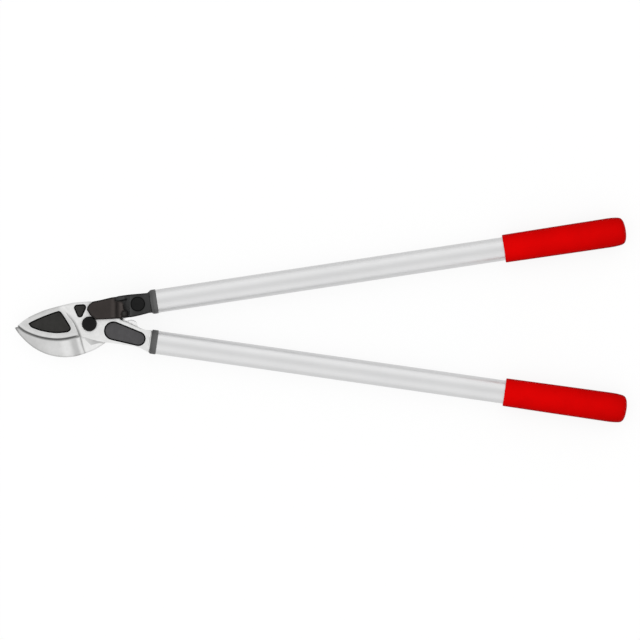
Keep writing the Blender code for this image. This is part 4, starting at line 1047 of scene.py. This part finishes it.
def head_shade(points):
    x, y = points.T
    # painted shade ring round the fork cap
    ring = band(reach(points, FORK), (0.0088, 0.8), (0.0099, 0.8), (0.0107, NO_SHADE))
    # painted light and shade bands, and a painted highlight on the plate beyond the tongue
    bands = np.where((y > 0.0318) & (x < 0.048), PALE_SHADE, band(x, *LEVER_BANDS))
    # painted shadow along the slanted gap line
    line_off = np.abs(y - GAP_START[1] - (x - GAP_START[0]) * GAP_SLOPE)
    gap = band(line_off, (0.0009, 0.96), (0.0013, 0.8), (0.0016, NO_SHADE))
    gap = np.where((x > 0.0372) & (x < 0.0525), gap, NO_SHADE)
    # painted shade along the rounded rim
    rim = rim_dark(points, head_loop, (x < 0.041) & (y > 0.026), 0.4)
    rim = np.where(along_handle(points, 1)[0] > -0.0028, NO_SHADE, rim)
    return np.maximum.reduce([bands, gap, ring, knuckle_dark(points), rim])


head_height = np.linspace(0.009, 0.041, 34)
head_lines = [
    *lines_across(HEAD_WALL_X + np.array((0, 0.0004, 0.0007, 0.001)), head_height),
    slot_arc, arc(FORK, SLOT_RADIUS + 0.0001, -60, 80, 40),
    *lines_across((0.0368, 0.0394, 0.042, 0.044, 0.0478, 0.0498), head_height),
]
head = slab(
    "fork_forging", head_loop, head_top, head_bottom,
    [
        *rings_of(head_loop, FINE, LEVER_ROUND), *insets(head_loop, FINE, [0.0017]),
        *[circle(FORK, radius, 64) for radius in (0.0094, 0.0098, 0.0107)],
    ],
    [within(line, head_loop) for line in head_lines],
    [circle(FORK, 0.0075, 48), circle(KNUCKLE, 0.0039, 32)], 0.0015, MEDIUM, head_shade,
)
put(head, "upper_handle", "black_steel", head_painted_shade, "handle_head")
cheek_loop = joined(
    [handle_top],
    [p for p in smooth(HEAD_TOP, 6) if p[0] > HEAD_WALL_X + 0.0006],
    [(HEAD_WALL_X, 0.0396), (HEAD_WALL_X, 0.0094)],
    smooth(HEAD_BOTTOM, 6),
    [handle_low],
)


def cheek_bottom(points):
    back = np.maximum(CHEEK_BACK, AXIS_HEIGHT - shoulder_half(points))
    return back + rounded(gap_to(points, cheek_loop), LEVER_ROUND)


def cheek_top(points):
    return np.maximum(cheek_bottom(points) + 0.0004, CHEEK_FACE)


cheek = slab(
    "fork_cheek", cheek_loop, cheek_top, cheek_bottom, rings_of(cheek_loop, MEDIUM, LEVER_ROUND), [],
    [circle(FORK, 0.0053, 40)], 0.0018,
)
put(cheek, "upper_handle", "black_steel", black_steel)

# Tubes, collars, grips and caps


def spigot_piece(name, side, body):
    """The solid end that holds the tube."""
    slot, material = ("black_steel", black_steel) if side > 0 else ("forged_steel", forged)
    profile = [
        (-0.001, 0), (-0.001, SPIGOT_RADIUS - 0.0006), (-GAP, SPIGOT_RADIUS),
        (SPIGOT_END - 0.001, SPIGOT_RADIUS), (SPIGOT_END, SPIGOT_RADIUS - 0.001), (SPIGOT_END, 0),
    ]
    put(lathe(name + "_spigot", profile, handle_frame(side), 64), body, slot, material)


def tube_piece(name, side, body):
    """The tube, with the hole of its pin in its back."""
    profile = [
        (TUBE_START, TUBE_BORE), (TUBE_START, TUBE_RADIUS - 0.0002), (TUBE_START + 0.0002, TUBE_RADIUS),
        *[(x, TUBE_RADIUS) for x in np.linspace(0.04, 0.62, 8)],
        (TUBE_END, TUBE_RADIUS), (TUBE_END, TUBE_BORE),
    ]
    tube = lathe(name + "_tube_skin", profile, handle_frame(side), 128)
    hole = PIN_RADIUS + GAP
    pin_frame = handle_frame(side) @ upright((PIN_PLACE, 0), -0.0185)
    cutter = lathe("pin_cutter", [(0, 0), (0, hole), (0.008, hole), (0.008, 0)], pin_frame, 32)
    change = tube.modifiers.new("hole", "BOOLEAN")
    change.object = cutter
    change.solver = "EXACT"
    bpy.context.view_layer.update()
    graph = bpy.context.evaluated_depsgraph_get()
    mesh = bpy.data.meshes.new_from_object(tube.evaluated_get(graph))
    tube.modifiers.clear()
    tube.data = mesh
    smoothed(mesh)
    bpy.data.objects.remove(cutter)
    put(tube, body, "aluminium", aluminium, name + "_tube")


def collar_piece(name, side, body):
    """The collar round the tube's front end. The upper one's front is rounder."""
    bore = SPIGOT_RADIUS + GAP
    if side > 0:
        front = [
            (0.0044 * (1 - math.sin(turn)), COLLAR_RADIUS - 0.0022 * (1 - math.cos(turn)))
            for turn in np.radians(np.linspace(0, 90, 9))
        ]
    else:
        chamfer = ((0.0012, 0), (0.0006, 0.0004), (0.0002, 0.0009), (0.0, 0.0013))
        front = [(place, COLLAR_RADIUS - drop) for place, drop in chamfer]
    lip = ((0, 0.0005), (0.00015, 0.00015), (0.0005, 0))
    back = [(COLLAR_LENGTH - before, COLLAR_RADIUS - drop) for before, drop in lip]

    def paler(corners):
        # painted light on the collar's rear part and front edge, painted shade between them
        stops = (0.0, -0.1), (0.001, -0.05), (0.0035, 0.1), (0.0055, -0.35), (0.0088, -0.4)
        return band(corners[:, 0], *stops)
    profile = [(COLLAR_LENGTH, bore), *back, *front, (0.0, bore)]
    collar = lathe(name + "_collar_ring", profile, handle_frame(side), shade=paler)
    put(collar, body, "grey_plastic", collar_painted_shade, name + "_collar")


def grip_piece(name, side, body):
    """A dipped sleeve with a rolled lip and a domed butt, with painted shade where it turns under."""
    inner = TUBE_RADIUS + GAP
    profile = [(GRIP_END - back, GRIP_REAR - short) for back, short in smooth(GRIP_BUTT, 4)]
    profile[0] = (GRIP_END, 0)
    base = profile[-1][0]
    for t in np.linspace(0, 1, 24)[1:]:
        radius = GRIP_REAR + (GRIP_FRONT - GRIP_REAR) * t + GRIP_SWELL * math.sin(math.pi * t)
        profile.append((base + (GRIP_START + GRIP_LIP - base) * t, radius))
    for turn in np.radians((25, 50, 75, 90)):
        place = GRIP_START + GRIP_LIP * (1 - math.sin(turn))
        profile.append((place, GRIP_FRONT - LIP_ROUND * (1 - math.cos(turn))))
    profile += [(GRIP_START, inner), (PLUG_END + GAP, inner), (PLUG_END + GAP, 0)]

    def under(corners):
        # painted shade on the lower side; also lighter towards the lip and darker towards the butt
        up = corners[:, 2] / GRIP_REAR
        ahead = band(corners[:, 0], (GRIP_START, -0.1), (0.57, -0.06), (GRIP_END, 0.08))
        return ahead + band(up, (0.05, 0.55), (0.3, 0.3), (0.5, 0.0))
    piece = lathe(name + "_grip_skin", profile, handle_frame(side), 128, under)
    put(piece, body, "red_grip", red_painted_shade, name + "_grip")


for name, side, body in (("upper", 1, "upper_handle"), ("lower", -1, "blade_arm")):
    for make in (spigot_piece, tube_piece, collar_piece, grip_piece):
        make(name, side, body)


def cap_piece(node, name, place, radius, corner, body, hollow=None):
    """A round cap with a soft shoulder and a shallow dish in its face, maybe hollow below."""
    low, high = (end.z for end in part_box(node))
    profile = [*[(high - depth, radius * share) for depth, share in CAP_DISH], (high, radius - corner)]
    for turn in np.radians(np.linspace(80, 0, 8)):
        up, out = corner * math.sin(turn), corner * math.cos(turn)
        profile.append((high - corner + up, radius - corner + out))
    profile.append((low, radius))
    if hollow:
        inner, wall = hollow
        profile += [(low, inner), (high - wall, inner), (high - wall, 0)]
    else:
        profile.append((low, 0))
    put(lathe(name, profile, upright(place)), body, "black_plastic", black_plastic, node)


cap_piece("pivot_cap", "pivot_cover", PIVOT, 0.01025, 0.002, "hook", (0.0088, 0.0009))
cap_piece("fork_cap", "fork_cover", FORK, 0.009, 0.0014, "upper_handle")

# Floor, light and camera

FLOOR_HALF, FLOOR_DROP = 60.0, 0.0004
FLOOR_SEEN, FLOOR_HIDDEN = grey(0.98), grey(0.22)  # its colour to the camera and to other rays
GLOW_IN_GLOSS, GLOW_SEEN = 0.88, 0.85  # how much of it glows by itself, so that its white stays white
SKY_TOP, SKY_LEAN = 1.2, 0.045
SKY = (
    (0.0, 1.08), (0.15, 1.1), (0.32, 1.13), (0.55, 1.16), (0.78, 1.1), (0.9, 1.0), (0.965, 0.92),
    (1.0, 0.88),
)  # height of the direction, and level


def floor():
    corners = [(x * FLOOR_HALF, y * FLOOR_HALF, 0) for x, y in ((-1, -1), (1, -1), (1, 1), (-1, 1))]
    mesh = mesh_of("floor", corners, [(0, 1, 2, 3)])
    made = bpy.data.objects.new("floor", mesh)
    bpy.context.scene.collection.objects.link(made)
    made.location.z = -FLOOR_DROP
    material, tree, shader = shader_tree("floor")
    shader.inputs["Roughness"].default_value = 0.9
    shader.inputs["Specular IOR Level"].default_value = 0.0
    path = add(tree, "ShaderNodeLightPath").outputs
    seen = path["Is Camera Ray"]
    tree.links.new(tinted(tree, seen, FLOOR_HIDDEN, FLOOR_SEEN), shader.inputs["Base Color"])
    sharp = maths(tree, "MAXIMUM", path["Is Glossy Ray"], path["Is Transmission Ray"])
    glossy_share = maths(tree, "MULTIPLY", sharp, GLOW_IN_GLOSS)
    share = maths(tree, "MAXIMUM", glossy_share, maths(tree, "MULTIPLY", seen, GLOW_SEEN))
    glow = add(tree, "ShaderNodeEmission")
    mix = add(tree, "ShaderNodeMixShader", [(0, share), (1, shader.outputs[0]), (2, glow.outputs[0])])
    tree.links.new(mix.outputs[0], tree.nodes["Material Output"].inputs["Surface"])
    mesh.materials.append(material)


def studio():
    """A white tent, a little darker overhead and towards the horizon, and white to the camera."""
    world = bpy.data.worlds.new("studio")
    bpy.context.scene.world = world
    world.use_nodes = True
    tree = world.node_tree
    ray = add(tree, "ShaderNodeTexCoord").outputs["Generated"]
    parts = add(tree, "ShaderNodeSeparateXYZ", [(0, ray)]).outputs
    ramp = add(tree, "ShaderNodeValToRGB", [(0, parts["Z"])])
    lean = maths(tree, "MULTIPLY_ADD", parts["Y"], SKY_TOP * SKY_LEAN, SKY_TOP)
    elements = ramp.color_ramp.elements
    while len(elements) < len(SKY):
        elements.new(0.5)
    for element, (place, bright) in zip(elements, SKY):
        element.position = place
        element.color = (*grey(bright / SKY_TOP), 1)
    background = tree.nodes["Background"]
    soft = spread_out(tree, parts["Z"], 0.5, 0.95, 0.0, 0.85)
    paths = add(tree, "ShaderNodeLightPath").outputs
    spread = add(tree, "ShaderNodeMix", [("Factor", paths["Is Diffuse Ray"])], data_type="RGBA")
    tree.links.new(ramp.outputs["Color"], spread.inputs["A"])
    tree.links.new(soft, spread.inputs["B"])
    tree.links.new(spread.outputs["Result"], background.inputs["Color"])
    tree.links.new(lean, background.inputs["Strength"])
    white = add(tree, "ShaderNodeBackground", [("Color", (1, 1, 1, 1)), ("Strength", 1.0)])
    mix = add(tree, "ShaderNodeMixShader", [
        (0, paths["Is Camera Ray"]), (1, background.outputs[0]), (2, white.outputs[0]),
    ])
    tree.links.new(mix.outputs[0], tree.nodes["World Output"].inputs["Surface"])


nodes["knuckle_pin"].data.materials[0] = pad_dark
floor()
studio()
camera_data = bpy.data.cameras.new("camera")
camera_data.lens, camera_data.sensor_width = LENS, SENSOR
camera_data.clip_end = VIEW_REACH
camera = bpy.data.objects.new("camera", camera_data)
bpy.context.scene.collection.objects.link(camera)
camera.location = (*VIEW_CENTRE, VIEW_WIDTH * LENS / SENSOR)
camera.rotation_euler = (0, 0, ROLL)
bpy.context.scene.camera = camera
bpy.context.scene.view_settings.view_transform = "Standard"
